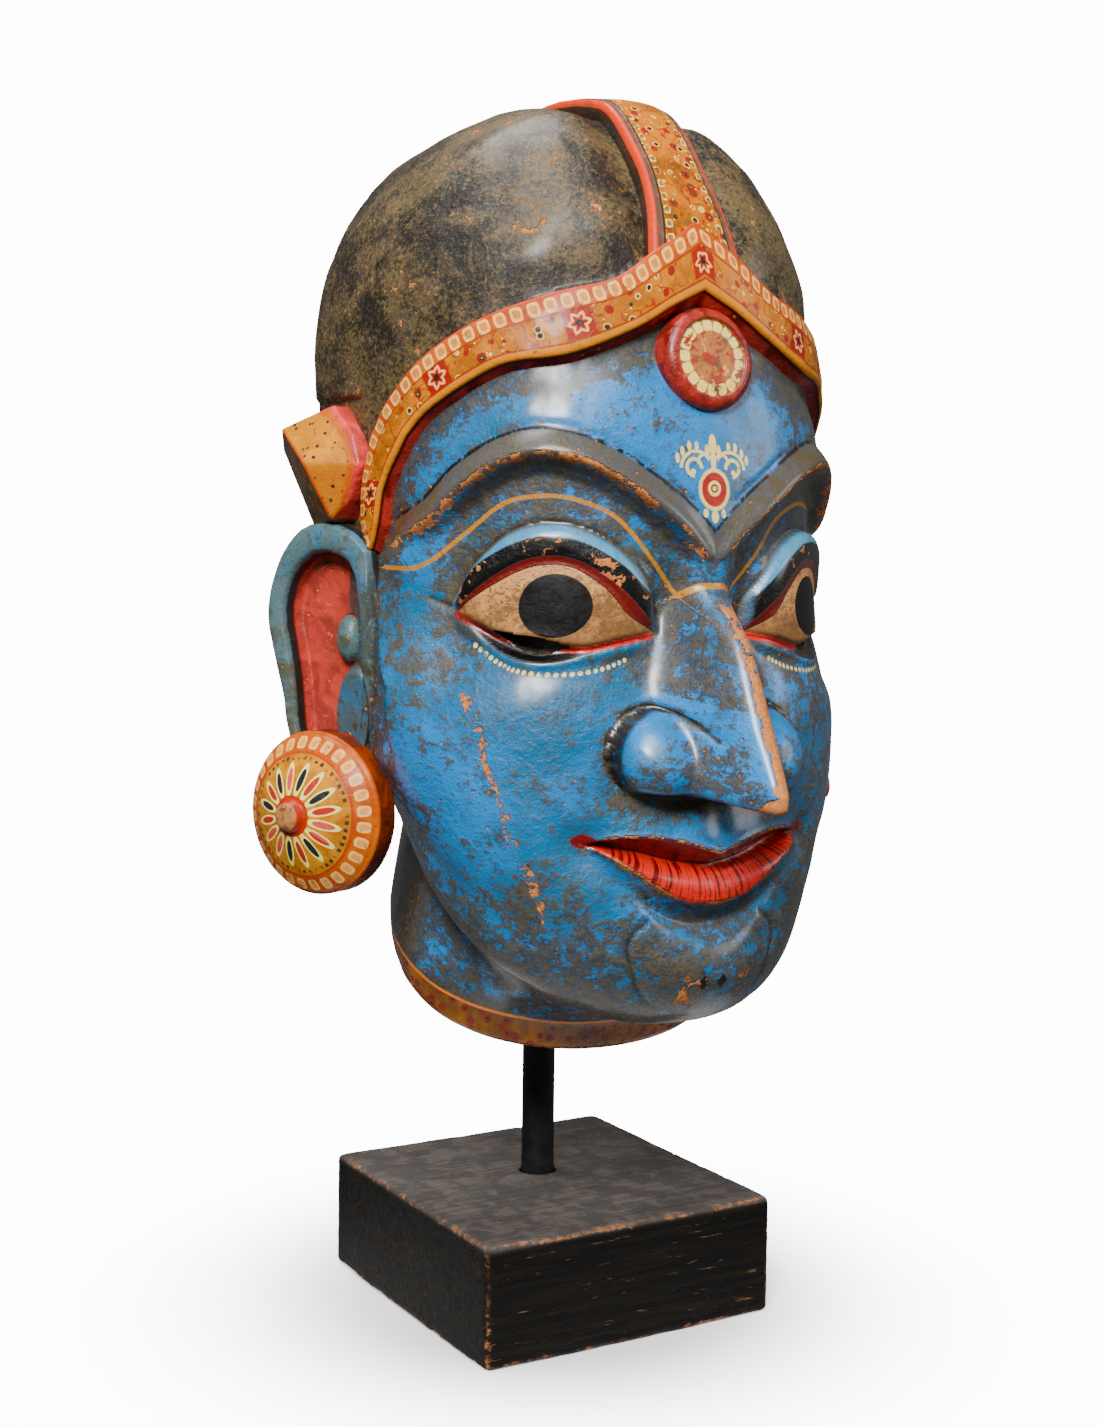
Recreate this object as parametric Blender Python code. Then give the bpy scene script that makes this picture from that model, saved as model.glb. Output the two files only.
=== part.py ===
# A carved and painted deity mask, hollow behind, with its ear ornaments, held up by a steel rod
# on a square wooden block. The mask looks along -Y, +Z is up, and the origin is the middle of
# the block's underside. Lengths are in metres.
import math

import bmesh
import bpy
import numpy as np
from mathutils import Matrix, Vector

# Driving dimensions
BLOCK_WIDTH = 0.135
BLOCK_DEPTH = 0.140
BLOCK_HEIGHT = 0.0496
BLOCK_EDGE = 0.0022

ROD_DIAMETER = 0.014
ROD_SETBACK = 0.0083        # the rod stands this far behind the block's middle
ROD_HOLE_DEPTH = 0.030      # blind hole in the block
ROD_HOLE_CHAMFER = 0.0012
ROD_SOCKET_DEPTH = 0.006    # blind socket inside the crown
FIT = 0.0003                # clearance between pieces that touch

MASK_HEIGHT = 0.381         # collar to crown
MASK_LIFT = 0.0671          # collar above the block
MASK_SETBACK = 0.0137       # open back of the mask behind the rod's middle
WALL = 0.014                # thickness of the carved shell
EAR_BACKING = 0.010         # wood left behind each ear's seat
SLIT_MARGIN = 0.006         # how far the eye slits' cutters run past the wall

# The carving is drawn on a head 381 units high, in units above the collar's lower edge and
# in units forward of the open back. UNIT is one of them.
UNIT = MASK_HEIGHT / 381.0
BACK_Y = ROD_SETBACK + MASK_SETBACK
COLLAR_Z = BLOCK_HEIGHT + MASK_LIFT

# The head's section, top to bottom: half width, fullness of the cheeks, reach forward, height
# in front, height at the back, and the angle above level that the front faces there
DOME_CENTRE = 243.3
DOME_HALF_WIDTH = 98.4
DOME_FULLNESS = 0.229
DOME_FAN = ((90, 134.2), (75, 141.7), (60, 151.5), (30, 142.0), (0, 136.5))
FACE_ROWS = (
    (DOME_HALF_WIDTH - 2.4, 0.229, 138.5, 183.3, 190.3, 0),     # eyes
    (DOME_HALF_WIDTH + 7.6, 0.26, 139.0, 128.3, 168.3, 0),      # cheeks
    (DOME_HALF_WIDTH - 2.9, 0.37, 139.0, 83.3, 151.3, 0),       # mouth
    (DOME_HALF_WIDTH - 16.4, 0.40, 139.5, 46.3, 133.3, -20),    # chin
    (64.0, 0.76, 120.0, 20.6, 117.7, -60),      # jaw
    (56.0, 0.76, 97.0, 19.8, 108.3, -90),       # neck under the jaw
    (65.2, 0.548, 77.0, 13.0, 53.7, -20),       # top of the collar
    (64.2, 0.527, 72.0, 0.0, 42.9, 0),          # lower edge of the collar
)
ROWS_ABOVE_EYES = len(DOME_FAN)
SPREAD = 2.1                # units round the face for each degree of turn from the nose

# Carved lines on one half of the face, as turn in units and height in units
BROW = ((4, 199), (15, 210), (30, 221), (46, 230.5), (64, 235.5), (80, 233), (97, 224), (114, 211),
        (134, 203))
LID_FOLD = ((20, 173), (24, 185), (37, 200), (52, 208), (66, 210), (82, 206), (97, 194), (108, 178.5))
LID_EDGE = ((22, 172), (32, 181), (44, 191), (58, 197.5), (73, 197), (88, 190), (104, 178.5))
EYE_FLOOR = ((22, 171), (37, 168), (52, 165), (67, 167), (82, 169), (92, 172.5), (104, 178))
LOWER_LID = ((22, 169), (31, 166), (46, 162.5), (56, 160.5), (67, 159), (78, 161.5), (92, 169), (108, 177.5))
LIP_TOP = ((0, 89), (5, 91), (13, 94), (24, 96), (36, 95.5), (46, 93))
LIP_SEAM = ((0, 83.5), (8, 84.5), (16, 86), (27, 89), (40, 91.5), (46, 92))
LIP_FOOT = ((0, 69), (8, 69.8), (16, 72.5), (23, 77), (30, 82.5), (40, 89), (46, 91.5))
CHIN_ARC = ((26, 64), (33, 58), (35, 51), (31, 40), (20, 31), (0, 28))
NOSE_RISE = ((188, 0), (182, 7), (171, 19.5), (150, 30.5), (129, 42.5), (123, 44.5), (117.5, 41),
             (113.5, 20), (110, 0))
NOSE_HALF_WIDTH = ((188, 13), (170, 21), (150, 26), (130, 25), (110, 24))
NOSE_DROOP = 0.25           # how far the nose hangs for each unit that it stands out
NOSE_RIDGE = 0.22           # roundness of its ridge

# Headband: matching points of its upper and lower edges, from the peak to its end at the ear
BAND_TOP = ((0, 323.7), (19, 310.8), (36, 299.6), (59, 293.8), (86, 285.1), (109, 273.8), (128, 259.8),
            (143, 242.3), (150, 223.3), (152, 208.3), (147, 199.8))
BAND_FOOT = ((0, 297.1), (14, 290.3), (30, 281.1), (55, 271.3), (80, 267.5), (102, 257.3), (118, 247.3),
             (129, 234.3), (136.5, 223.3), (141, 210.3), (146, 199.8))
BAND_RISE = 1.6             # how far the band's face stands out from the head's main form
BAND_ROOT = 12.0            # how far it is sunk in the head
FOREHEAD_SINK = 4.5
HAIR_SINK = 3.5
CREST_HALF_WIDTH = 15.5
CREST_SINK = 7.0            # the hair beside the crest lies this far below its face
MEDALLION_HEIGHT = 271.8
MEDALLION_RADIUS = 17.0
MEDALLION_FOOT = 20.2
MEDALLION_RISE = 10.0

# Ears, drawn on the mask's left half: places are x, forward reach and height in units
EAR_SEAT_DEPTH = 7.4        # how deep the flat seats are cut in the sides of the head
EAR_SEAT = DOME_HALF_WIDTH - EAR_SEAT_DEPTH
EAR_ROOT = 7.5              # thickness of the wood that fills a seat
EAR_SEAT_LINE = ((262, 49), (222, 49), (199.5, 47), (181, 51), (148, 71), (108, 71), (92, 58))
EAR_CLEARANCE = 0.001       # between the ear and the head's rounded side in front of its seat
EAR_PLACE = (DOME_HALF_WIDTH + 0.1, 46.0)
EAR_TURN = 26.0             # degrees that the ear's plate turns out from the side of the head
EAR_OUTLINE = ((-2.6, 200.3), (4.4, 206), (10.9, 209.1), (18.4, 211), (27, 210), (33.7, 207.1), (42.5, 197.2),
               (48.2, 183.2), (49.2, 171.2), (46.5, 159.3), (42.3, 143.5), (38.5, 125.7), (30, 108), (12, 106),
               (0, 118), (-6, 141), (-8, 168))
EAR_CENTRE = (21.0, 166.0)
EAR_THICKNESS = 11.0
EAR_HOLLOW = 7.0
EAR_KNOB = (12, 165, -3.5, (6.5, 10, 6.5))      # place back, height, sink, and half sizes
EAR_LOBE = (7, 139, -4.5, (9, 17, 6))
ORNAMENT_PLACE = (DOME_HALF_WIDTH + 5.6, 40.0)
ORNAMENT_TURN = 15.0
ORNAMENT_PLATE = ((9, 255.3), (-3.5, 243), (-7.5, 231.8), (-1.5, 218.6), (5.6, 210.2), (20, 208), (30, 222.9),
                  (40, 239), (36, 247.5))
ORNAMENT_ROOT = 16.0
ORNAMENT_RIDGE = ((31, 246.5, 8.0), (11.5, 232.4, 13.0), (4.5, 211.5, 4.6))
STUD_PLACE = (DOME_HALF_WIDTH + 17.5, 36.0, 97.5)
STUD_TURN = 26.0
STUD_RADIUS = 32.0
STUD_SIDE = 12.5
STUD_DOME = 14.0
STUD_BOSS = (5.5, 4.0)      # radius and height

HEAD_COLUMNS = 120
BEHIND = 12.0               # how far cutters run past the open back
BESIDE = 60.0               # and past the sides of the head
HEAD_DETAIL = 0.066         # share of the head's faces that its facets keep
STUD_SEGMENTS = 32
ROD_SEGMENTS = 24


def clear_scene():
    for thing in list(bpy.data.objects):
        bpy.data.objects.remove(thing, do_unlink=True)


def material(name, colour, roughness, metallic=0.0):
    made = bpy.data.materials.new(name)
    made.use_nodes = True
    shader = made.node_tree.nodes["Principled BSDF"]
    shader.inputs["Base Color"].default_value = (*colour, 1.0)
    shader.inputs["Roughness"].default_value = roughness
    shader.inputs["Metallic"].default_value = metallic
    return made


def add_object(name, mesh, finish=None):
    thing = bpy.data.objects.new(name, mesh)
    bpy.context.scene.collection.objects.link(thing)
    if finish is not None:
        mesh.materials.append(finish)
    return thing


def mesh_from(name, points, faces):
    # A closed mesh from points and faces, doubles joined and faces turned outwards
    build = bmesh.new()
    corners = [build.verts.new(point) for point in points]
    for face in faces:
        if len(set(face)) == len(face):
            build.faces.new([corners[i] for i in face])
    bmesh.ops.remove_doubles(build, verts=build.verts, dist=2e-6)
    bmesh.ops.dissolve_degenerate(build, edges=build.edges, dist=1e-7)
    bmesh.ops.recalc_face_normals(build, faces=build.faces)
    mesh = bpy.data.meshes.new(name)
    build.to_mesh(mesh)
    build.free()
    return mesh


def cutter(name, mesh):
    thing = add_object(name, mesh)
    thing.hide_render = True
    thing.display_type = "WIRE"
    return thing


def boolean(thing, other, operation):
    change = thing.modifiers.new(operation.title(), "BOOLEAN")
    change.operation = operation
    change.solver = "EXACT"
    change.object = other


def smooth_path(keys, count=121):
    # Catmull-Rom curve through the key points
    keys = np.array(keys, float)
    ends = np.vstack([2 * keys[0] - keys[1], keys, 2 * keys[-1] - keys[-2]])
    place = np.linspace(0, len(keys) - 1, count)
    i = np.minimum(place.astype(int), len(keys) - 2)
    f = (place - i)[:, None]
    a, b, c, d = ends[i], ends[i + 1], ends[i + 2], ends[i + 3]
    return 0.5 * (2 * b + (c - a) * f + (2 * a - 5 * b + 4 * c - d) * f**2 + (3 * b - a - 3 * c + d) * f**3)


def height_on(keys, across):
    path = smooth_path(keys)
    return np.interp(across, path[:, 0], path[:, 1])


def value_at(keys, height):
    # Reads a profile given as falling heights with a value at each
    path = smooth_path(keys)[::-1]
    return np.interp(height, path[:, 0], path[:, 1])


def nearest(across, height, keys):
    # Distance to a carved line and the place along it, 0 to 1
    path = smooth_path(keys, 161)
    best = np.full(np.shape(across), 1e9)
    place = np.zeros(np.shape(across))
    for i, (u, h) in enumerate(path):
        gap = (across - u) ** 2 + (height - h) ** 2
        place = np.where(gap < best, i / 160, place)
        best = np.minimum(best, gap)
    return np.sqrt(best), place


def swell(square):
    # Bell curve of a squared distance
    return np.exp(-square)


def dome(square):
    # Half ball over a unit disc, flat outside it
    return np.sqrt(np.clip(1 - square, 0, 1))


def step(value, start, end):
    f = np.clip((value - start) / (end - start), 0, 1)
    return f * f * (3 - 2 * f)


def section_rows(inset):
    # The head's rows of sizes, moved inwards by a wall, which keeps clear of the ears' seats
    widest = EAR_SEAT - EAR_BACKING / UNIT if inset > 0 else math.inf
    side = min(DOME_HALF_WIDTH - inset, widest)
    rows = []
    for angle, radius in DOME_FAN:
        lean = math.radians(angle)
        reach = (radius - inset) * math.cos(lean)
        rows.append((side, DOME_FULLNESS, reach, DOME_CENTRE + (radius - inset) * math.sin(lean), DOME_CENTRE))
    for half, full, reach, front, back, angle in FACE_ROWS:
        lean = math.radians(angle)
        side = min(half - inset, widest)
        rows.append((side, full, reach - inset * math.cos(lean), front - inset * math.sin(lean), back))
    return np.array(rows)


def between_rows(rows, place):
    # Monotone cubic between the rows, so that nothing overshoots
    rise = np.diff(rows, axis=0)
    before, after = rise[:-1], rise[1:]
    total = before + after
    inner = np.where(before * after > 0, 2 * before * after / np.where(total == 0, 1, total), 0)
    slope = np.vstack([rise[:1], inner, rise[-1:]])
    i = np.clip(place.astype(int), 0, len(rows) - 2)
    f = (place - i)[..., None]
    return ((1 + 2 * f) * (1 - f) ** 2 * rows[i] + f * (1 - f) ** 2 * slope[i]
            + f * f * (3 - 2 * f) * rows[i + 1] + f * f * (f - 1) * slope[i + 1])


def head_form(turn, place, inset=0.0):
    # Main form of the head: x, reach and height for a turn in degrees and a place down the rows
    size = between_rows(section_rows(inset), np.asarray(place, float))
    half, full, reach, front, back = np.moveaxis(size, -1, 0)
    turn = np.radians(turn)
    x = half * np.sin(turn) * (1 + full * np.cos(turn))
    return np.stack([x, reach * np.cos(turn), back + (front - back) * np.cos(turn)], -1)


def head_facing(turn, place):
    # Which way the main form faces, from its slopes
    turn = np.clip(turn, -89.6, 89.6)
    place = np.clip(place, 0.02, None)
    across = head_form(turn + 0.2, place) - head_form(turn - 0.2, place)
    down = head_form(turn, place + 0.01) - head_form(turn, place - 0.01)
    facing = np.cross(across, down)
    return facing / (np.linalg.norm(facing, axis=-1, keepdims=True) + 1e-9)


def place_for(turn, height):
    # The place down the rows where the main form has this height, by halving
    turn, height = np.broadcast_arrays(np.asarray(turn, float), np.asarray(height, float))
    low = np.full(turn.shape, 1.6)
    high = np.full(turn.shape, ROWS_ABOVE_EYES + len(FACE_ROWS) - 1.0)
    for _ in range(30):
        middle = (low + high) / 2
        above = head_form(turn, middle)[..., 2] > height
        low = np.where(above, middle, low)
        high = np.where(above, high, middle)
    return (low + high) / 2


def brow_and_eye(u, h):
    # Brow ridge, sunk socket, rolled upper lid, eyeball and lower lid
    away, along = nearest(u, h, BROW)
    fullness = np.clip(np.sin(np.pi * along), 0, 1)
    rise = (1.5 + 3.5 * fullness**0.8) * swell((away / (2.6 + 2.4 * fullness)) ** 2)
    brow_line = height_on(BROW, u)
    socket = -5.0 * step(brow_line - h, 0, 9) * (1 - step(brow_line - h, 62, 96)) * (1 - step(u, 96, 126))
    socket *= step(u, 2, 16)
    corner = -6.5 * swell(((u - 20) / 11) ** 2 + ((h - 176) / 17) ** 2)
    fold, edge = height_on(LID_FOLD, u), height_on(LID_EDGE, u)
    floor, under = height_on(EYE_FLOOR, u), height_on(LOWER_LID, u)
    inside = step(u, 20, 26) * (1 - step(u, 100, 108))
    across_lid = (h - edge) / np.maximum(fold - edge, 2)
    lid = 4.4 * dome((2 * across_lid - 1) ** 2) * inside
    ball = 4.6 * dome(((u - 63) / 45) ** 2 + ((h - 180) / 24) ** 2) * inside
    ball *= step(h, floor - 1.5, floor + 1) * (1 - step(h, edge - 1, edge + 1.5))
    ledge = 1.6 * swell(((h - under) / 3.0) ** 2) * step(u, 24, 34) * (1 - step(u, 98, 108))
    return rise + socket + corner + lid + ball + ledge


def mouth_and_chin(u, h):
    # Lips that turn in to their seam, the hollow under them, the chin and its two arcs
    top, seam, foot = height_on(LIP_TOP, u), height_on(LIP_SEAM, u), height_on(LIP_FOOT, u)
    inside = 1 - step(u, 40, 48)
    muzzle = 7.0 * swell((u / 30) ** 2 + ((h - 93) / 15) ** 2)
    upper = np.clip((top - h) / np.maximum(top - seam, 1), 0, 1) * (h > seam)
    lower = np.clip((h - foot) / np.maximum(seam - foot, 1), 0, 1) * (h <= seam)
    turn_in = -(9.5 * upper ** 1.3 + 9.5 * lower ** 2.2) * inside
    pout = 2.5 * dome((2 * lower - 0.9) ** 2) * (lower > 0) * inside
    under = -(6.5 * swell((u / 30) ** 2)) * swell(((h - foot + 8) / 6.5) ** 2)
    chin = 4.0 * swell((u / 27) ** 2 + ((h - 41) / 17) ** 2)
    corners = -3.5 * swell(((u - 47) / 9) ** 2 + ((h - 92) / 9) ** 2)
    away, _ = nearest(u, h, CHIN_ARC)
    return muzzle + turn_in + pout + under + chin + corners - 1.0 * swell((away / 1.4) ** 2)


def nose(x, h):
    # How far the nose stands out: a ridge that widens downwards and a wing at each side
    x = np.abs(x)
    rise = value_at(NOSE_RISE, h)
    rise = np.where((h > 188) | (h < 110), 0, rise)
    q = np.clip(x / value_at(NOSE_HALF_WIDTH, h), 0, 1.3)
    base = math.hypot(1, NOSE_RIDGE) - NOSE_RIDGE
    ridge = rise * np.clip(1 - (np.hypot(q, NOSE_RIDGE) - NOSE_RIDGE) / base, 0, 1)
    wing = 17.0 * dome(((x - 25) / 17) ** 2 + ((h - 127) / 17.5) ** 2) * step(h, 112, 119)
    return np.maximum(ridge, wing)


def band_and_hair(u, h, x):
    # The skin sinks below the headband, and the hair above it and beside the crest
    foot_gap, _ = nearest(u, h, BAND_FOOT)
    top_gap, _ = nearest(u, h, BAND_TOP)
    on_hair = (h > height_on(BAND_TOP[:8], u)) | (u > 143)
    skin = -FOREHEAD_SINK * swell((foot_gap / 17) ** 2)
    skin -= 4.0 * swell((u / 32) ** 2 + ((h - MEDALLION_HEIGHT) / 30) ** 2)
    beside = np.maximum(np.abs(x) - CREST_HALF_WIDTH, 0)
    hair = np.minimum(-HAIR_SINK * swell((top_gap / 13) ** 2), -CREST_SINK * swell((beside / 12) ** 2))
    return np.where(on_hair, hair, skin * step(h, 196, 206))


def carve(turn, place):
    # Points of the carved outside, in world metres
    form = head_form(turn, place)
    u, h, x = np.abs(turn) * SPREAD, form[..., 2], form[..., 0]
    facing = head_facing(turn, place)
    front = place > 1.7
    raised = np.where(front, brow_and_eye(u, h) + mouth_and_chin(u, h), 0) * (np.abs(turn) < 75)
    raised = raised + band_and_hair(u, np.where(front, h, 400), x)
    proud = nose(x, h) * (np.abs(turn) < 40) * front
    carved = form + facing * raised[..., None]
    carved[..., 1] += proud
    carved[..., 2] -= NOSE_DROOP * proud
    carved[..., 1] = np.maximum(carved[..., 1], 0)
    return to_world(carved)


def to_world(drawn):
    # Drawn x, reach and height become world metres
    drawn = np.asarray(drawn, float)
    return np.stack([drawn[..., 0] * UNIT, BACK_Y - drawn[..., 1] * UNIT, COLLAR_Z + drawn[..., 2] * UNIT], -1)


def grid_faces(rows, columns, offset=0, flip=False):
    faces = []
    for i in range(rows - 1):
        for j in range(columns - 1):
            a = offset + i * columns + j
            ring = (a, a + 1, a + columns + 1, a + columns)
            faces.append(ring[::-1] if flip else ring)
    return faces


def shell_mesh(name, outer, inner):
    # Closes an outer and an inner grid into one shell along their shared border
    rows, columns = outer.shape[:2]
    count = rows * columns
    faces = grid_faces(rows, columns) + grid_faces(rows, columns, count, True)
    border = [(0, j) for j in range(columns)] + [(i, columns - 1) for i in range(1, rows)]
    border += [(rows - 1, j) for j in range(columns - 2, -1, -1)] + [(i, 0) for i in range(rows - 2, 0, -1)]
    for (i, j), (k, m) in zip(border, border[1:] + border[:1]):
        a, b = i * columns + j, k * columns + m
        faces.append((b, a, a + count, b + count))
    return mesh_from(name, np.vstack([outer.reshape(-1, 3), inner.reshape(-1, 3)]).tolist(), faces)


def head_places():
    # Places down the rows, closer together on the face than on the hair
    steps = (4, 4, 8, 10, 16, 16, 16, 12, 8, 5, 5, 3)
    return np.concatenate([[i + f / n for f in range(n)] for i, n in enumerate(steps)] + [[float(len(steps))]])


def head_turns(count):
    # Turns in degrees, closer together in front
    f = np.linspace(-1, 1, count + 1)
    return 90 * (0.78 * f + 0.22 * f**3)


def head_mesh():
    turn, place = np.meshgrid(head_turns(HEAD_COLUMNS), head_places())
    outer = carve(turn, place)
    inner = to_world(head_form(turn, place, WALL / UNIT))
    inner[..., 1] = np.where(np.abs(turn) > 89.9, BACK_Y, inner[..., 1])
    return shell_mesh("mask", outer, inner)


def on_head(turn, height, rise):
    place = place_for(turn, height)
    form = head_form(turn, place) + head_facing(turn, place) * np.asarray(rise)[..., None]
    return to_world(form)


def band_mesh():
    # The headband, from ear to ear, over the peak above the nose
    count = 26
    top, foot = smooth_path(BAND_TOP, count + 1), smooth_path(BAND_FOOT, count + 1)
    sweep = np.vstack([top[::-1] * (-1, 1), top[1:]]), np.vstack([foot[::-1] * (-1, 1), foot[1:]])
    across = np.array([0.0, 0.02, 0.5, 0.98, 1.0])
    points = sweep[0][None] * (1 - across)[:, None, None] + sweep[1][None] * across[:, None, None]
    lower = np.where(across > 0.99, 3.5, 0)[:, None]
    crown = (BAND_RISE * np.array([0.3, 0.5, 1.2, 1.0, -4.8]))[:, None] + 0 * points[..., 0]
    turn, height = points[..., 0] / SPREAD, points[..., 1] - lower
    face = on_head(turn, height, crown)
    root = on_head(turn, height, 0 * crown - BAND_ROOT)
    return shell_mesh("band", face, root)


def crest_mesh():
    # The broad strip from the band's peak back over the crown to the open edge
    place = np.linspace(0.0, 3.2, 21)[:, None]
    across = np.linspace(-1, 1, 5)[None, :]
    x = CREST_HALF_WIDTH * across * (1 + 0.33 * step(place, 2.6, 3.1))
    turn = np.degrees(np.arcsin(x / DOME_HALF_WIDTH / (1 + DOME_FULLNESS))) + 0 * place
    place = place + 0 * turn
    facing = head_facing(turn, place)
    rise = 1.2 - 0.6 * np.abs(across) + 0 * turn
    face = head_form(turn, place) + facing * rise[..., None]
    root = head_form(turn, place) - facing * BAND_ROOT
    face[..., 1] = np.maximum(face[..., 1], 0)
    root[..., 1] = np.maximum(root[..., 1], 0)
    return shell_mesh("crest", to_world(face), to_world(root))


def turned_mesh(name, profile, segments, place, aim):
    # A profile of radius and height, turned about a line through place along aim
    rings = np.array(profile, float)
    angle = np.linspace(0, 2 * math.pi, segments, endpoint=False)
    aim = Vector(aim).normalized()
    turn = aim.to_track_quat("Z", "Y").to_matrix()
    points, faces = [], []
    for radius, height in rings:
        for a in angle:
            local = Vector((radius * math.cos(a), radius * math.sin(a), height))
            points.append(Vector(place) + turn @ local)
    for i in range(len(rings) - 1):
        for j in range(segments):
            k = (j + 1) % segments
            a, b = i * segments + j, i * segments + k
            faces.append((a, b, b + segments, a + segments))
    faces.append(tuple(range(segments))[::-1])
    faces.append(tuple(len(points) - segments + j for j in range(segments)))
    return mesh_from(name, points, faces)


def arc_profile(centre, radius, start, end, count):
    angles = np.radians(np.linspace(start, end, count))
    return [(centre[0] + radius[0] * math.cos(a), centre[1] + radius[1] * math.sin(a)) for a in angles]


def medallion_mesh():
    place = float(place_for(0.0, MEDALLION_HEIGHT))
    spot = head_form(0.0, place)
    facing = head_facing(np.array(0.0), np.array(place))
    centre = to_world(spot + facing * (1.5 - MEDALLION_RISE))
    aim = (float(facing[0]), -float(facing[1]), float(facing[2]))
    edge = MEDALLION_RADIUS
    profile = [(MEDALLION_FOOT, -6.0), (MEDALLION_FOOT, 0.0)]
    profile += arc_profile((edge - 1.5, 6.0), (5.0, 4.0), 5, 85, 5)
    profile += [(edge - 3.0, MEDALLION_RISE - 0.9), (0.4, MEDALLION_RISE - 0.6)]
    return turned_mesh("medallion", [(r * UNIT, z * UNIT) for r, z in profile], 28, centre.tolist(), aim)


def slit_mesh(side):
    # Cutter for the slit under one eyeball: it follows the lid and runs through the wall
    across = np.linspace(57, 91, 13)
    swell_in = dome(((across - 74) / 17.5) ** 2)
    middle = (height_on(EYE_FLOOR, across) + height_on(LOWER_LID, across)) / 2
    half = (height_on(EYE_FLOOR, across) - height_on(LOWER_LID, across)) / 2 * swell_in
    height = np.stack([middle + half, middle - half])
    turn = side * np.stack([across, across]) / SPREAD
    outside, inside = 0 * turn + 8.0, 0 * turn - 1.5 * (WALL + SLIT_MARGIN) / UNIT
    return shell_mesh("slit", on_head(turn, height, outside), on_head(turn, height, inside))


def prism_mesh(name, outline, low, high):
    # A side outline of height and reach, drawn through from one x to another
    outline = [(0.0, reach, height) for height, reach in outline]
    rings = [[(x, reach, height) for _, reach, height in outline] for x in (low, high)]
    count = len(outline)
    faces = [tuple(range(count)), tuple(range(2 * count - 1, count - 1, -1))]
    faces += [(i, (i + 1) % count, (i + 1) % count + count, i + count) for i in range(count)]
    return mesh_from(name, to_world(np.array(rings[0] + rings[1])).tolist(), faces)


def seat_outline(gap):
    # The ear seat seen from the side, closed off behind the open back
    line = [(height, reach - gap) for height, reach in EAR_SEAT_LINE]
    line[0] = (line[0][0] - gap, line[0][1])
    line[-1] = (line[-1][0] + gap, line[-1][1])
    back = 0.0 if gap else -BEHIND
    return [(line[0][0], back)] + line + [(line[-1][0], back)]


def clearance_mesh():
    # The head as a filled form, grown by the ears' clearance, to trim what lies over its sides
    turn, place = np.meshgrid(head_turns(HEAD_COLUMNS // 2), head_places()[::3])
    form = head_form(turn, place, -EAR_CLEARANCE / UNIT)
    rows, columns = turn.shape
    border = [(0, j) for j in range(columns)] + [(i, columns - 1) for i in range(1, rows)]
    border += [(rows - 1, j) for j in range(columns - 2, -1, -1)] + [(i, 0) for i in range(rows - 2, 0, -1)]
    rim = [i * columns + j for i, j in border]
    centre = rows * columns
    faces = grid_faces(rows, columns) + [(b, a, centre) for a, b in zip(rim, rim[1:] + rim[:1])]
    points = np.vstack([form.reshape(-1, 3), [(0.0, 0.0, DOME_CENTRE / 2)]])
    return mesh_from("clearance", to_world(points).tolist(), faces)


def ear_axes(place, turn_angle):
    # A plate on the side of the head: its middle, its way back and out, and the way it faces
    turn = math.radians(turn_angle)
    back = np.array([-math.sin(turn), -math.cos(turn), 0.0])
    facing = np.array([-math.cos(turn), math.sin(turn), 0.0])
    return np.array([-place[0], place[1], 0.0]), back, facing


def on_plate(place, turn_angle, across, height, rise):
    middle, back, facing = ear_axes(place, turn_angle)
    across, height, rise = np.broadcast_arrays(across, height, rise)
    drawn = middle + across[..., None] * back + rise[..., None] * facing
    drawn[..., 2] = height
    return drawn


def ear_plate_mesh():
    # The ear as a plate with a rolled rim round a sunk hollow, on rings about its middle
    outline = smooth_path(EAR_OUTLINE + EAR_OUTLINE[:1], 45)[:-1]
    centre = np.array(EAR_CENTRE)
    reach = np.linalg.norm(outline - centre, axis=1)
    rings = [0.0, 0.45, 0.7, 0.76, 0.84, 0.93, 1.0]
    levels = [-EAR_HOLLOW, -EAR_HOLLOW, -EAR_HOLLOW * 0.9, -1.5, 1.0, 0.6, -3.0]
    points, faces, count = [], [], len(outline)
    for share, level in list(zip(rings, levels))[1:]:
        spread = centre + (outline - centre) * share
        points.append(on_plate(EAR_PLACE, EAR_TURN, spread[:, 0], spread[:, 1], level + 0 * reach))
    back = on_plate(EAR_PLACE, EAR_TURN, outline[:, 0], outline[:, 1], -EAR_THICKNESS + 0 * reach)
    points.append(back)
    total = len(points)
    stack = to_world(np.concatenate(points))
    for i in range(total - 1):
        for j in range(count):
            k = (j + 1) % count
            faces.append((i * count + j, i * count + k, (i + 1) * count + k, (i + 1) * count + j))
    faces.append(tuple(range(count)))
    faces.append(tuple((total - 1) * count + j for j in reversed(range(count))))
    return mesh_from("ear_plate", stack.tolist(), faces)


def lump_mesh(name, across, height, rise, radii, segments=12, rings=6):
    # A rounded lump on the ear: a stretched ball set in the plate
    points, faces = [], []
    angle = np.linspace(0, 2 * math.pi, segments, endpoint=False)
    for i in range(1, rings):
        polar = math.pi * i / rings
        side = across + radii[0] * math.sin(polar) * np.cos(angle)
        level = height + radii[1] * math.sin(polar) * np.sin(angle)
        points.append(on_plate(EAR_PLACE, EAR_TURN, side, level, rise + radii[2] * math.cos(polar)))
    count = len(points)
    for i in range(count - 1):
        for j in range(segments):
            k = (j + 1) % segments
            faces.append((i * segments + j, i * segments + k, (i + 1) * segments + k, (i + 1) * segments + j))
    faces.append(tuple(range(segments)))
    faces.append(tuple((count - 1) * segments + j for j in reversed(range(segments))))
    return mesh_from(name, to_world(np.concatenate(points)).tolist(), faces)


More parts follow.
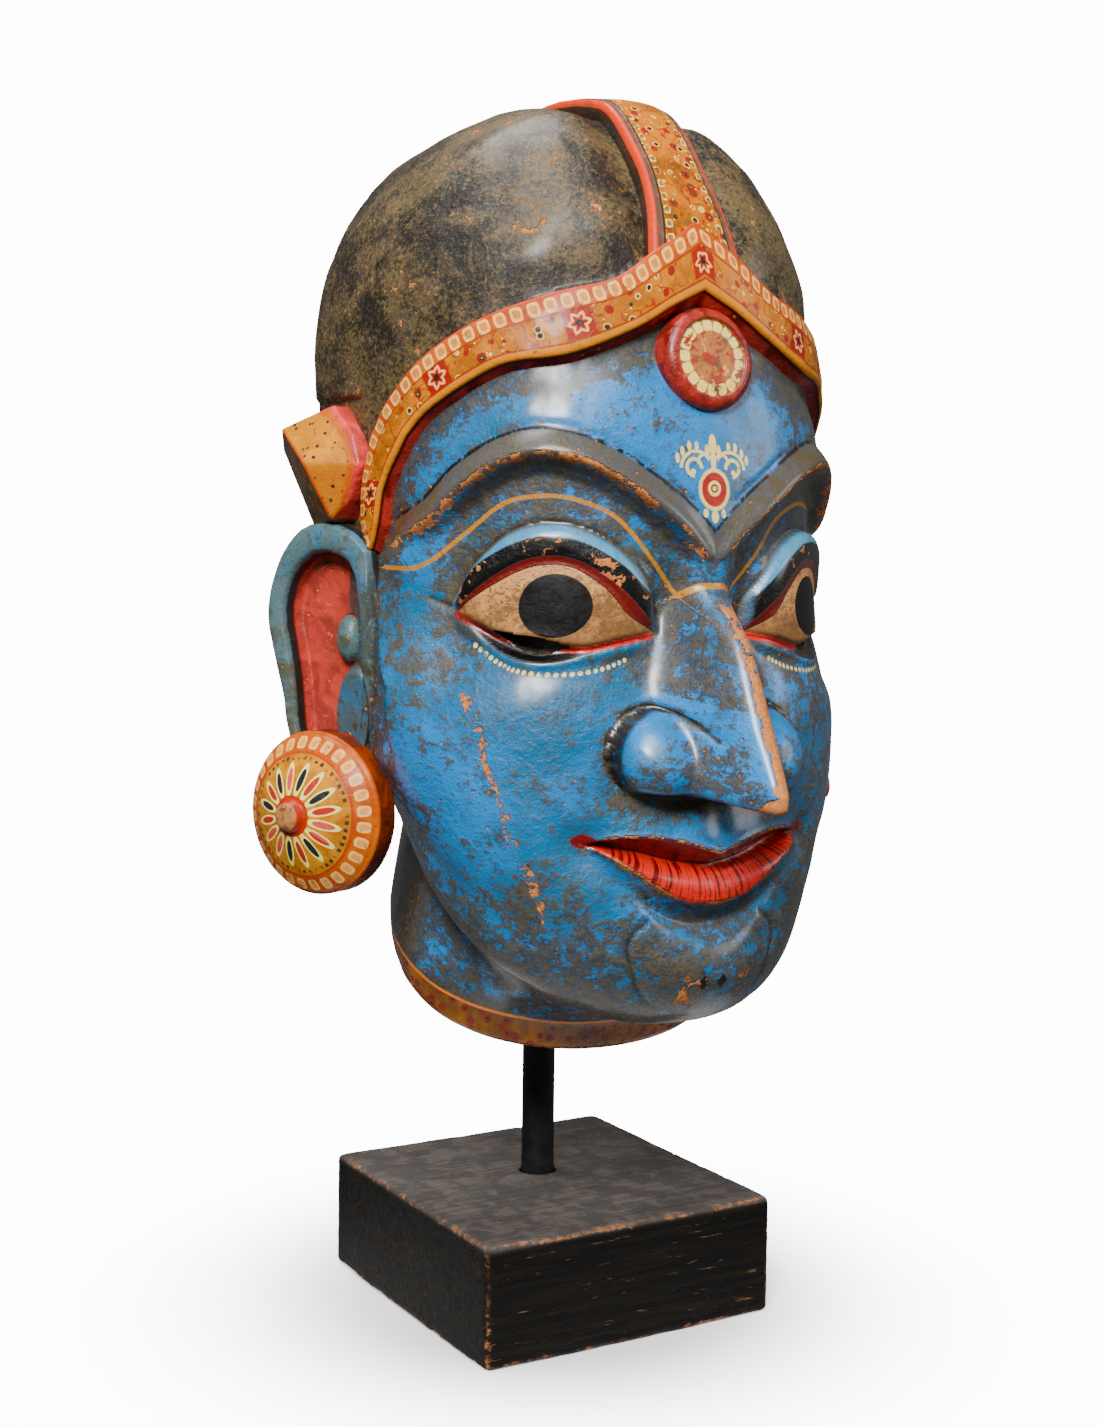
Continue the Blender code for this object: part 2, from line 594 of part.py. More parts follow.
def ornament_mesh():
    # The faceted drop above the ear: a plate, and a block on it that rises to a bent ridge
    outline = np.array(ORNAMENT_PLATE, float)
    centre = outline.mean(axis=0)
    inset = centre + (outline - centre) * 0.86
    low = on_plate(ORNAMENT_PLACE, ORNAMENT_TURN, outline[:, 0], outline[:, 1], -ORNAMENT_ROOT)
    edge = on_plate(ORNAMENT_PLACE, ORNAMENT_TURN, outline[:, 0], outline[:, 1], 0.0)
    lip = on_plate(ORNAMENT_PLACE, ORNAMENT_TURN, inset[:, 0], inset[:, 1], 1.0)
    ridge = np.array(ORNAMENT_RIDGE)
    crown = on_plate(ORNAMENT_PLACE, ORNAMENT_TURN, ridge[:, 0], ridge[:, 1], ridge[:, 2])
    build = bmesh.new()
    for point in to_world(np.concatenate([low, edge, lip, crown])):
        build.verts.new(point)
    bmesh.ops.convex_hull(build, input=build.verts)
    bmesh.ops.delete(build, geom=[v for v in build.verts if not v.link_faces], context="VERTS")
    bmesh.ops.recalc_face_normals(build, faces=build.faces)
    mesh = bpy.data.meshes.new("ornament")
    build.to_mesh(mesh)
    build.free()
    return mesh


def stud_mesh():
    # The round ear stud: straight side, domed face and a worn boss
    middle, back, facing = ear_axes(STUD_PLACE, STUD_TURN)
    middle[2] = STUD_PLACE[2]
    centre = to_world(middle)
    aim = (float(facing[0]), -float(facing[1]), 0.0)
    boss, boss_rise = STUD_BOSS
    profile = [(STUD_RADIUS - 2.5, -STUD_SIDE), (STUD_RADIUS, -STUD_SIDE + 2.5)]
    profile += arc_profile((STUD_RADIUS - 1.5, -1.5), (1.5, 1.5), 0, 60, 3)
    for share in (0.86, 0.72, 0.56, 0.4, 0.27):
        profile.append((STUD_RADIUS * share, STUD_DOME * (1 - share**1.8)))
    foot = STUD_DOME * (1 - (boss / STUD_RADIUS) ** 1.8)
    top = foot + boss_rise
    profile += [(boss + 1.2, foot), (boss, top - 1), (boss - 1.5, top), (0.4, top)]
    return turned_mesh("stud", [(r * UNIT, z * UNIT) for r, z in profile], STUD_SEGMENTS, centre.tolist(), aim)


def mirrored(mesh, name):
    # The same piece for the mask's other side
    other = mesh.copy()
    other.name = name
    other.transform(Matrix.Diagonal((-1, 1, 1, 1)))
    other.flip_normals()
    return other


def crown_inside():
    # World height of the hollow's top, under the crown
    return COLLAR_Z + (DOME_CENTRE + DOME_FAN[0][1]) * UNIT - WALL


def make_mask(finish):
    mask = add_object("mask", head_mesh(), finish)
    facets = mask.modifiers.new("Facets", "DECIMATE")
    facets.ratio = HEAD_DETAIL
    for name, mesh in (("band", band_mesh()), ("crest", crest_mesh()), ("medallion", medallion_mesh())):
        boolean(mask, cutter(name, mesh), "UNION")
    for side, label in ((-1, "left"), (1, "right")):
        boolean(mask, cutter("slit_" + label, slit_mesh(side)), "DIFFERENCE")
    seat = prism_mesh("seat_left", seat_outline(0.0), -EAR_SEAT, -EAR_SEAT - BESIDE)
    boolean(mask, cutter("seat_left", seat), "DIFFERENCE")
    boolean(mask, cutter("seat_right", mirrored(seat, "seat_right")), "DIFFERENCE")
    radius, depth = ROD_DIAMETER / 2 + FIT, ROD_SOCKET_DEPTH
    socket = turned_mesh("rod_socket", [(radius, -depth - WALL), (radius, depth)], ROD_SEGMENTS,
                         (0.0, ROD_SETBACK, crown_inside()), (0, 0, 1))
    boolean(mask, cutter("rod_socket", socket), "DIFFERENCE")


def make_clearance():
    # The grown head with both ears' seats cut out of it, less their fit
    head = cutter("clearance", clearance_mesh())
    seat = prism_mesh("fit_left", seat_outline(FIT / UNIT), -EAR_SEAT - FIT / UNIT, -EAR_SEAT - BESIDE)
    boolean(head, cutter("fit_left", seat), "DIFFERENCE")
    boolean(head, cutter("fit_right", mirrored(seat, "fit_right")), "DIFFERENCE")
    return head


def make_ear(label, finish, flip, clearance):
    root = prism_mesh("ear_root", seat_outline(FIT / UNIT), -EAR_SEAT - FIT / UNIT, -EAR_SEAT - EAR_ROOT)
    parts = [ear_plate_mesh(), ornament_mesh(), stud_mesh()]
    parts += [lump_mesh("knob", *EAR_KNOB), lump_mesh("lobe", *EAR_LOBE)]
    if flip:
        root = mirrored(root, "ear_root_" + label)
        parts = [mirrored(mesh, mesh.name + label) for mesh in parts]
    ear = add_object("ear_" + label, root, finish)
    for mesh in parts:
        boolean(ear, cutter(mesh.name + "_" + label, mesh), "UNION")
    boolean(ear, clearance, "DIFFERENCE")


def make_rod(finish):
    foot = BLOCK_HEIGHT - ROD_HOLE_DEPTH + FIT
    head = crown_inside() + ROD_SOCKET_DEPTH - FIT
    radius = ROD_DIAMETER / 2
    profile = [(radius, 0.0), (radius, head - foot)]
    mesh = turned_mesh("rod", profile, ROD_SEGMENTS, (0.0, ROD_SETBACK, foot), (0, 0, 1))
    add_object("rod", mesh, finish)


def make_block(finish):
    build = bmesh.new()
    bmesh.ops.create_cube(build, size=1.0)
    bmesh.ops.scale(build, vec=(BLOCK_WIDTH, BLOCK_DEPTH, BLOCK_HEIGHT), verts=build.verts)
    bmesh.ops.translate(build, vec=(0, 0, BLOCK_HEIGHT / 2), verts=build.verts)
    bmesh.ops.bevel(build, geom=build.edges, offset=BLOCK_EDGE, segments=2, profile=0.5, affect="EDGES")
    mesh = bpy.data.meshes.new("base_block")
    build.to_mesh(mesh)
    build.free()
    block = add_object("base_block", mesh, finish)
    radius = ROD_DIAMETER / 2 + FIT
    depth, lip = ROD_HOLE_DEPTH, ROD_HOLE_CHAMFER
    profile = [(radius, 0.0), (radius, depth - lip), (radius + lip, depth), (radius + lip, depth + 0.01)]
    hole = turned_mesh("rod_hole", profile, ROD_SEGMENTS, (0.0, ROD_SETBACK, BLOCK_HEIGHT - depth), (0, 0, 1))
    boolean(block, cutter("rod_hole", hole), "DIFFERENCE")


def build_all():
    clear_scene()
    paint = material("painted_wood", (0.06, 0.25, 0.45), 0.35)
    ear_paint = material("painted_ear_wood", (0.45, 0.22, 0.08), 0.4)
    steel = material("black_steel", (0.02, 0.02, 0.022), 0.45, 0.6)
    stained = material("stained_wood", (0.035, 0.028, 0.024), 0.6)
    make_mask(paint)
    clearance = make_clearance()
    make_ear("left", ear_paint, False, clearance)
    make_ear("right", ear_paint, True, clearance)
    make_rod(steel)
    make_block(stained)


build_all()
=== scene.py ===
import math

import bmesh
import bpy
import numpy as np
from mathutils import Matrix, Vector


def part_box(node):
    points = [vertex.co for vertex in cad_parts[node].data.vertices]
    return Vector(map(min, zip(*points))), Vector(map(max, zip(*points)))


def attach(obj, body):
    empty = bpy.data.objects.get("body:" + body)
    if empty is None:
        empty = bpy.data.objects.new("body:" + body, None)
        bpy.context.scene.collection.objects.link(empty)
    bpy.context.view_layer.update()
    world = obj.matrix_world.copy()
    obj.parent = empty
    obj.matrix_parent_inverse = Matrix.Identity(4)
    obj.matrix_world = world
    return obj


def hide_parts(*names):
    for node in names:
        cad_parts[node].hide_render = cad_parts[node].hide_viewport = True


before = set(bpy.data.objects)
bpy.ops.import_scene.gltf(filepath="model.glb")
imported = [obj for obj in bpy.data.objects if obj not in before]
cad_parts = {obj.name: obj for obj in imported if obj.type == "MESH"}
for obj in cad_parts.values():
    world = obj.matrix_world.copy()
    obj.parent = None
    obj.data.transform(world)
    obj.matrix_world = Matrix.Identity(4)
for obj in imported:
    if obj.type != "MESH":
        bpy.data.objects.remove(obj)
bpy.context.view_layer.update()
blockLow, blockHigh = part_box("base_block")
maskLow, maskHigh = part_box("mask")
rodLow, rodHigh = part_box("rod")
unit = (blockHigh.x - blockLow.x) / 135.0    # the unit of the carving: the block is 135 of them wide
backY = maskHigh.y                           # the mask's open back
collarZ = maskLow.z                          # the collar's lower edge
print("frame loaded, one unit is", round(unit * 1000, 3), "mm")

# The head's main form, drawn in units. The fan over the crown has an angle and a radius for each row, and the
# rows below it have half width, fullness, reach forward, height in front, height at the back and the angle
# above level that the front faces
head = dict(
    domeCentre=243.3, domeHalfWidth=98.4, fullness=0.229,
    fan=[(90, 134.2), (75, 141.7), (60, 151.5), (30, 142.0), (0, 136.5)],
    rows=[(96.0, 0.229, 138.5, 183.3, 190.3, 0), (106.0, 0.26, 139.0, 128.3, 168.3, 0),
          (95.5, 0.37, 139.0, 83.3, 151.3, 0), (82.0, 0.40, 139.5, 46.3, 133.3, -20),
          (64.0, 0.76, 120.0, 20.6, 117.7, -60), (56.0, 0.76, 97.0, 19.8, 108.3, -90),
          (65.2, 0.548, 77.0, 13.0, 53.7, -20), (64.2, 0.527, 72.0, 0.0, 42.9, 0)],
    spread=2.1,              # units round the face for each degree of turn from the nose
    wall=14.0, widestInside=81.0,
    earSeat=98.2, earSeatLine=[(262, 49), (222, 49), (199.5, 47), (181, 51), (148, 71), (108, 71), (92, 58)],
    columns=280,
    rowSteps=[8, 10, 24, 40, 56, 54, 50, 34, 18, 10, 12, 8],
    insideColumns=40, insideRows=36)

# Lines of the carving and the paint on one half of the face, as units round from the nose and height
lines = dict(
    brow=[(4, 199), (15, 210), (30, 221), (46, 230.5), (64, 235.5), (80, 233), (97, 224), (114, 211),
          (134, 203)],
    ochre=[(13, 184.5), (25, 198), (39, 212.5), (54, 218.6), (68, 220), (84, 217), (100, 206.5), (119, 194),
           (138, 193)],
    bridge=[(0, 188), (6, 187.6), (13, 184.5)],
    lidFold=[(20, 173), (24, 185), (37, 200), (52, 208), (66, 210), (82, 206), (97, 194), (108, 178.5)],
    lidEdge=[(22, 172), (32, 181), (44, 191), (58, 197.5), (73, 197), (88, 190), (104, 178.5)],
    eyeTop=[(22, 171), (34.7, 177), (44.5, 187), (58, 194.5), (73, 194), (88.6, 187), (104, 178)],
    eyeFloor=[(22, 171), (37, 168), (52, 165), (67, 167), (82, 169), (92, 172.5), (104, 178)],
    lowerLid=[(22, 169), (31, 166), (46, 162.5), (56, 160.5), (67, 159), (78, 161.5), (92, 169),
              (108, 177.5)],
    canthus=[(100, 178), (107, 179.5), (115, 182)],
    beads=[(33.6, 161), (44, 157), (58, 155), (72.5, 156), (82, 159.5), (94.5, 166.6)],
    lipTop=[(0, 89), (5, 91), (13, 94), (24, 96), (36, 95.5), (46, 93)],
    lipSeam=[(0, 83.5), (8, 84.5), (16, 86), (27, 89), (40, 91.5), (46, 92)],
    lipFoot=[(0, 69), (8, 69.8), (16, 72.5), (23, 77), (30, 82.5), (40, 89), (46, 91.5)],
    wing=[(22.6 + 15.6 * math.cos(angle), 127 + 17.7 * math.sin(angle))
          for angle in np.radians(np.linspace(-38, 140, 9))],
    chinArc=[(26, 64), (33, 58), (35, 51), (31, 40), (20, 31), (0, 28)],
    scratch=[(92, 151), (87, 140), (83, 131), (80, 118), (76, 109), (74, 95), (70, 80), (68, 70), (65, 59)],
    bandTop=[(0, 323.7), (19, 310.8), (36, 299.6), (59, 293.8), (86, 285.1), (109, 273.8), (128, 259.8),
             (143, 242.3), (150, 223.3), (152, 208.3), (147, 199.8)],
    bandFoot=[(0, 297.1), (14, 290.3), (30, 281.1), (55, 271.3), (80, 267.5), (102, 257.3), (118, 247.3),
              (129, 234.3), (136.5, 223.3), (141, 210.3), (146, 199.8)])

nose = dict(
    rise=[(188, 0), (182, 7), (171, 19.5), (150, 30.5), (129, 42.5), (123, 44.5), (117.5, 41), (113.5, 20),
          (110, 0)],
    halfWidth=[(188, 13), (170, 21), (150, 26), (130, 25), (110, 24)],
    droop=0.25, ridge=0.22, foot=0.28,
    wingPlace=(25, 127), wingSize=(17, 17.5), wingRise=17.0)

# The slit under an eye. Each end of its cutter is a shift in height and a rise above the face
eyeSlit = dict(
    start=56, end=86, steps=25, middle=71, halfLength=15.2, outer=(-4.6, 8.0), inner=(17.0, -30.0))

curveSteps = 60      # stretches of a carved line when the distance to it is measured
halvings = 28        # steps of the search for a height


def smoothPath(keys, count):
    # Catmull-Rom curve: each stretch is a cubic through its two keys, sloped along their neighbours
    keys = np.array(keys, float)
    ends = np.vstack([2 * keys[0] - keys[1], keys, 2 * keys[-1] - keys[-2]])
    place = np.linspace(0, len(keys) - 1, count)
    i = np.minimum(place.astype(int), len(keys) - 2)
    f = (place - i)[:, None]
    a, b, c, d = ends[i], ends[i + 1], ends[i + 2], ends[i + 3]
    return 0.5 * (2 * b + (c - a) * f + (2 * a - 5 * b + 4 * c - d) * f**2 + (3 * b - a - 3 * c + d) * f**3)


def heightOn(keys, across):
    path = smoothPath(keys, 161)
    return np.interp(across, path[:, 0], path[:, 1])


def valueAt(keys, height):
    path = smoothPath(keys, 161)[::-1]
    return np.interp(height, path[:, 0], path[:, 1])


def lineField(u, h, keys):
    # Distance to the nearest stretch of a curve, share of the way along it, and +1 above or -1 below
    path = smoothPath(keys, curveSteps + 1)
    best, along, side = np.full(u.shape, 1e9), np.zeros(u.shape), np.ones(u.shape)
    for i in range(curveSteps):
        start, run = path[i], path[i + 1] - path[i]
        t = np.clip(((u - start[0]) * run[0] + (h - start[1]) * run[1]) / (run @ run), 0, 1)
        gap = (u - start[0] - t * run[0]) ** 2 + (h - start[1] - t * run[1]) ** 2
        near = gap < best
        best = np.where(near, gap, best)
        along = np.where(near, (i + t) / curveSteps, along)
        side = np.where(near, np.where(run[0] * (h - start[1]) > run[1] * (u - start[0]), 1.0, -1.0), side)
    return np.sqrt(best), along, side


def oval(across, up, wide, tall):
    # Squared distance from an oval's middle, which is 1 on its edge; for numbers, arrays and shader wires
    return (across / wide) ** 2 + (up / tall) ** 2


def bell(square):
    return np.exp(-square)


def ball(square):
    # Half ball over a unit disc, from its squared radius
    return np.sqrt(np.clip(1 - square, 0, 1))


def ease(value, start, end):
    f = np.clip((value - start) / (end - start), 0, 1)
    return f * f * (3 - 2 * f)


def lattice(x, y, z, seed):
    n = (x * 73856093) ^ (y * 19349663) ^ (z * 83492791) ^ (seed * 26544357)
    n = (n ^ (n >> 13)) * 1274126177
    n = n ^ (n >> 16)
    return (n & 0xFFFFFF) / float(0x7FFFFF) - 1.0


def roughness3(points, size, seed=0):
    # Smooth noise from -1 to 1: eight hashed corners of a cell, blended by eased shares
    p = np.asarray(points, float) / size
    cell = np.floor(p).astype(np.int64)
    f = p - cell
    f = f * f * (3 - 2 * f)
    total = 0.0
    for i in (0, 1):
        for j in (0, 1):
            for k in (0, 1):
                share = (np.abs(1 - i - f[..., 0]) * np.abs(1 - j - f[..., 1]) * np.abs(1 - k - f[..., 2]))
                total = total + share * lattice(cell[..., 0] + i, cell[..., 1] + j, cell[..., 2] + k, seed)
    return total


def sizeRows(inset):
    # Sizes of the head's rows, moved inwards by a wall
    widest = head["widestInside"] if inset > 0 else math.inf
    centre, rows = head["domeCentre"], []
    for angle, radius in head["fan"]:
        lean, r = math.radians(angle), radius - inset
        rows.append((min(head["domeHalfWidth"] - inset, widest), head["fullness"], r * math.cos(lean),
                     centre + r * math.sin(lean), centre))
    for half, full, reach, front, back, angle in head["rows"]:
        lean = math.radians(angle)
        rows.append((min(half - inset, widest), full, reach - inset * math.cos(lean),
                     front - inset * math.sin(lean), back))
    return np.array(rows)


def betweenRows(rows, place):
    # Monotone cubic between the rows: harmonic mean slopes, so nothing overshoots
    rise = np.diff(rows, axis=0)
    before, after = rise[:-1], rise[1:]
    total = before + after
    inner = np.where(before * after > 0, 2 * before * after / np.where(total == 0, 1, total), 0)
    slope = np.vstack([rise[:1], inner, rise[-1:]])
    i = np.clip(place.astype(int), 0, len(rows) - 2)
    f = (place - i)[..., None]
    return ((1 + 2 * f) * (1 - f) ** 2 * rows[i] + f * (1 - f) ** 2 * slope[i]
            + f * f * (3 - 2 * f) * rows[i + 1] + f * f * (f - 1) * slope[i + 1])


def headForm(turn, place, inset=0.0):
    # x = half width * sin(turn) * (1 + fullness * cos(turn)); reach and height follow cos(turn)
    size = betweenRows(sizeRows(inset), np.asarray(place, float))
    half, full, reach, front, back = np.moveaxis(size, -1, 0)
    turn = np.radians(turn)
    x = half * np.sin(turn) * (1 + full * np.cos(turn))
    return np.stack([x, reach * np.cos(turn), back + (front - back) * np.cos(turn)], -1)


def headFacing(turn, place):
    # Cross product of the form's slopes across and down
    turn = np.clip(turn, -89.6, 89.6)
    place = np.clip(place, 0.02, None)
    across = headForm(turn + 0.2, place) - headForm(turn - 0.2, place)
    down = headForm(turn, place + 0.01) - headForm(turn, place - 0.01)
    facing = np.cross(across, down)
    return facing / (np.linalg.norm(facing, axis=-1, keepdims=True) + 1e-9)


def placeFor(turn, height):
    # The place down the rows where the main form has this height, by halving
    turn, height = np.broadcast_arrays(np.asarray(turn, float), np.asarray(height, float))
    low, high = np.full(turn.shape, 1.6), np.full(turn.shape, len(head["fan"]) + len(head["rows"]) - 1.0)
    for _ in range(halvings):
        middle = (low + high) / 2
        above = headForm(turn, middle)[..., 2] > height
        low, high = np.where(above, middle, low), np.where(above, high, middle)
    return (low + high) / 2


def toWorld(drawn):
    drawn = np.asarray(drawn, float)
    return np.stack([drawn[..., 0] * unit, backY - drawn[..., 1] * unit, collarZ + drawn[..., 2] * unit], -1)


def toDrawn(world):
    world = np.asarray(world, float)
    return np.stack([world[..., 0], backY - world[..., 1], world[..., 2] - collarZ], -1) / unit


def onHead(turn, height, rise):
    place = placeFor(turn, height)
    return toWorld(headForm(turn, place) + headFacing(turn, place) * np.asarray(rise)[..., None])


# Meshes

def gridFaces(rows, columns, wrap=False, flip=False, offset=0):
    i, j = np.meshgrid(np.arange(rows - 1), np.arange(columns if wrap else columns - 1), indexing="ij")
    k = (j + 1) % columns
    ring = [i * columns + j, i * columns + k, (i + 1) * columns + k, (i + 1) * columns + j]
    faces = np.stack([c.ravel() for c in ring], 1) + offset
    return (faces[:, ::-1] if flip else faces).tolist()


def borderOf(rows, columns):
    # The point numbers of the grid's border, once round
    edge = [(0, j) for j in range(columns - 1)]
    edge += [(i, columns - 1) for i in range(rows - 1)]
    edge += [(rows - 1, j) for j in range(columns - 1, 0, -1)]
    edge += [(i, 0) for i in range(rows - 1, 0, -1)]
    return [i * columns + j for i, j in edge]


def wallFaces(rows, columns):
    # Two grids of one size, one behind the other, joined along their border
    count = rows * columns
    edge = borderOf(rows, columns)
    faces = gridFaces(rows, columns) + gridFaces(rows, columns, flip=True, offset=count)
    return faces + [(b, a, a + count, b + count) for a, b in zip(edge, edge[1:] + edge[:1])]


def tubeFaces(rows, count):
    # Rings of points joined into a tube, with one face at each end
    faces = gridFaces(rows, count, wrap=True)
    return faces + [list(range(count))[::-1], [(rows - 1) * count + j for j in range(count)]]


def addObject(name, data):
    thing = bpy.data.objects.new(name, data)
    bpy.context.scene.collection.objects.link(thing)
    return thing


def addValues(mesh, values):
    # One number for each point under each label, for the paint to read
    for label, value in values.items():
        layer = mesh.attributes.new(label, "FLOAT", "POINT")
        layer.data.foreach_set("value", np.ascontiguousarray(value, np.float32).ravel())


def addPiece(name, mesh, finish):
    # One visible piece, riding on the root body
    mesh.materials.append(finish)
    thing = addObject(name, mesh)
    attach(thing, "root")
    return thing


def closedMesh(name, points, faces):
    # A mesh whose faces look outwards
    mesh = bpy.data.meshes.new(name)
    mesh.from_pydata(np.asarray(points, float).reshape(-1, 3).tolist(), [], faces)
    mesh.update()
    if signedVolume(mesh) < 0:
        mesh.flip_normals()
    return mesh


def makePiece(name, points, faces, finish, values):
    mesh = closedMesh(name, points, faces)
    addValues(mesh, values)
    mesh.shade_smooth()
    return addPiece(name, mesh, finish)


def signedVolume(mesh):
    # Sum of the tetrahedra from the origin to each triangle
    mesh.calc_loop_triangles()
    corners = np.empty(len(mesh.loop_triangles) * 3, np.int32)
    mesh.loop_triangles.foreach_get("vertices", corners)
    spots = np.empty(len(mesh.vertices) * 3, np.float32)
    mesh.vertices.foreach_get("co", spots)
    a, b, c = np.moveaxis(spots.reshape(-1, 3)[corners.reshape(-1, 3)].astype(float), 1, 0)
    return float(np.einsum("ij,ij->", a, np.cross(b, c))) / 6


def shellPiece(name, outer, inner, finish, values):
    # A closed wall from two grids of one size; "deep" is 0 on the outer grid and 1 on the inner one
    rows, columns = outer.shape[:2]
    both = {label: np.concatenate([np.ravel(v), np.ravel(v)]) for label, v in values.items()}
    both["deep"] = np.repeat([0.0, 1.0], rows * columns)
    points = np.vstack([outer.reshape(-1, 3), inner.reshape(-1, 3)])
    return makePiece(name, points, wallFaces(rows, columns), finish, both)


def turnedPiece(name, profile, segments, centre, aim, finish):
    # A profile of radius and height turned about a line, closed at both ends, with its own flat coordinates
    profile = np.array(profile, float) * unit
    angle = np.linspace(0, 2 * math.pi, segments, endpoint=False)
    turn = np.array(Vector(aim).normalized().to_track_quat("Z", "Y").to_matrix())
    flat = np.stack([profile[:, :1] * np.cos(angle), profile[:, :1] * np.sin(angle),
                     profile[:, 1:] + 0 * angle], -1)
    points = flat @ turn.T + np.array(centre)
    values = {"flatX": flat[..., 0] / unit, "flatY": flat[..., 1] / unit, "flatZ": flat[..., 2] / unit}
    return makePiece(name, points, tubeFaces(len(profile), segments), finish, values)


def arc(centre, radius, start, end, count):
    a = np.radians(np.linspace(start, end, count))
    return [(centre[0] + radius[0] * math.cos(t), centre[1] + radius[1] * math.sin(t)) for t in a]


# Shader maths: a wrapped socket, and one method for every other node

def wireMaths(operation, swapped=False):
    # A method that puts its wire, and the other value if there is one, into a maths node
    def method(self, *others):
        return self.finish.maths(operation, *((*others, self) if swapped else (self, *others)))
    return method


class Wire:
    __add__, __radd__ = wireMaths("ADD"), wireMaths("ADD", True)
    __sub__, __rsub__ = wireMaths("SUBTRACT"), wireMaths("SUBTRACT", True)
    __mul__, __rmul__ = wireMaths("MULTIPLY"), wireMaths("MULTIPLY", True)
    __truediv__, __pow__, __abs__ = wireMaths("DIVIDE"), wireMaths("POWER"), wireMaths("ABSOLUTE")
    __gt__, __lt__ = wireMaths("GREATER_THAN"), wireMaths("LESS_THAN")
    least, most = wireMaths("MINIMUM"), wireMaths("MAXIMUM")
    part, root = wireMaths("FRACT"), wireMaths("SQRT")

    def __init__(self, finish, socket):
        self.finish, self.socket = finish, socket

    def ramp(self, start, end):
        # 0 below start and 1 above end, eased; falls instead if start is above end
        settings = {"interpolation_type": "SMOOTHSTEP"}
        low, high, first, last = (start, end, 0.0, 1.0) if start < end else (end, start, 1.0, 0.0)
        inputs = {"Value": self, "From Min": low, "From Max": high, "To Min": first, "To Max": last}
        return self.finish.node("ShaderNodeMapRange", settings, inputs)


look = dict(soften=0.73, gain=0.221, power=1.10, purer=1.30, light=1.45, haze=0.016)


def shade(red, green, blue):
    # Paint that shows as this 0 to 255 screen colour: softened towards its grey, opened up as c / (1 - c) at
    # the light end, made purer again, and divided by the light that falls on the front of the mask
    screen = np.array((red, green, blue)) / 255
    grey = screen.mean()
    soft = np.clip(grey + look["soften"] * (screen - grey), 0.012, 0.965)
    light = look["gain"] * (soft / (1 - soft)) ** look["power"]
    pure = light.mean() + look["purer"] * (light - light.mean()) - look["haze"]
    return tuple(np.clip(pure / look["light"], 0.0006, 0.92).tolist())


class Finish:
    def __init__(self, name, **constants):
        self.material = bpy.data.materials.new(name)
        self.material.use_nodes = True
        self.tree = self.material.node_tree
        self.shader = self.tree.nodes["Principled BSDF"]
        for label, value in constants.items():
            self.shader.inputs[label.replace("_", " ")].default_value = value
        self.place = self.node("ShaderNodeTexCoord", output="Object")

    def node(self, kind, settings=None, inputs=None, output=0):
        made = self.tree.nodes.new(kind)
        for label, value in (settings or {}).items():
            setattr(made, label, value)
        for label, value in (inputs or {}).items():
            if isinstance(value, Wire):
                self.tree.links.new(value.socket, made.inputs[label])
            else:
                made.inputs[label].default_value = value
        return Wire(self, made.outputs[output])

    def maths(self, operation, *values):
        return self.node("ShaderNodeMath", {"operation": operation}, dict(enumerate(values)))

    def value(self, label):
        return self.node("ShaderNodeAttribute", {"attribute_name": label}, output="Fac")

    def noise(self, size, detail=2.0, rough=0.5, warp=0.0, place=None):
        # Noise whose features are about this many units across
        inputs = {"Vector": place or self.place, "Scale": 1 / (size * unit), "Detail": detail,
                  "Roughness": rough, "Distortion": warp}
        return self.node("ShaderNodeTexNoise", None, inputs)

    def layers(self, patch, warp, speck, grain):
        # Noises of three sizes: patches, specks and fine grain
        return self.noise(patch, 4, 0.65, warp), self.noise(speck, 3, 0.6, 0.4), self.noise(grain, 3, 0.7)

    def cells(self, size, place=None, randomness=1.0, output="Distance"):
        inputs = {"Vector": place or self.place, "Scale": 1 / (size * unit), "Randomness": randomness}
        return self.node("ShaderNodeTexVoronoi", {"feature": "F1"}, inputs, output)

    def stretched(self, x, y, z):
        return self.node("ShaderNodeMapping", None, {"Vector": self.place, "Scale": (x, y, z)})

    def mix(self, share, below, above):
        # Colour of the paint below where the share is 0, and of the paint above where it is 1
        inputs = {0: share}
        for index, colour in ((6, below), (7, above)):
            inputs[index] = colour if isinstance(colour, Wire) else (*colour, 1.0)
        return self.node("ShaderNodeMix", {"data_type": "RGBA"}, inputs, 2)

    def finish(self, colour, roughness, height, depth, coat=None):
        # The wires go into the shader, with the height as bumps that are this many metres deep
        bump = self.node("ShaderNodeBump", None, {"Height": height, "Distance": depth})
        wires = {"Base Color": colour, "Roughness": roughness, "Normal": bump, "Coat Weight": coat}
        for label, wire in wires.items():
            if wire is not None:
                self.tree.links.new(wire.socket, self.shader.inputs[label])
        return self.material


glaze = dict(Coat_Roughness=0.24, Coat_IOR=1.45, Specular_IOR_Level=0.26)
oldGlaze = dict(Coat_Roughness=0.20, Coat_IOR=1.40, Specular_IOR_Level=0.10)
print("helpers ready")

# The head: one carved shell, hollow behind

# The two grime colours also serve as painted shade on the skin, in hollows and shaded places
headPaint = dict(
    blue=shade(56, 152, 206), deepBlue=shade(40, 118, 166), paleBlue=shade(98, 166, 200),
    grime=shade(100, 84, 50), darkGrimeAndShade=shade(58, 48, 34),
    wood=shade(192, 126, 72), paleWood=shade(210, 156, 104), inside=shade(104, 76, 50),
    brow=shade(98, 86, 66), ochre=shade(208, 152, 0), lid=shade(104, 166, 190), lash=shade(24, 23, 22),
    red=shade(150, 34, 30), white=shade(208, 168, 118), stain=shade(140, 94, 52), pupil=shade(9, 9, 9),
    upperLip=shade(150, 22, 20), lowerLip=shade(220, 66, 54), cream=shade(232, 206, 160),
    hair=shade(42, 38, 34), hairBrown=shade(84, 70, 54), hairOlive=shade(130, 108, 62))


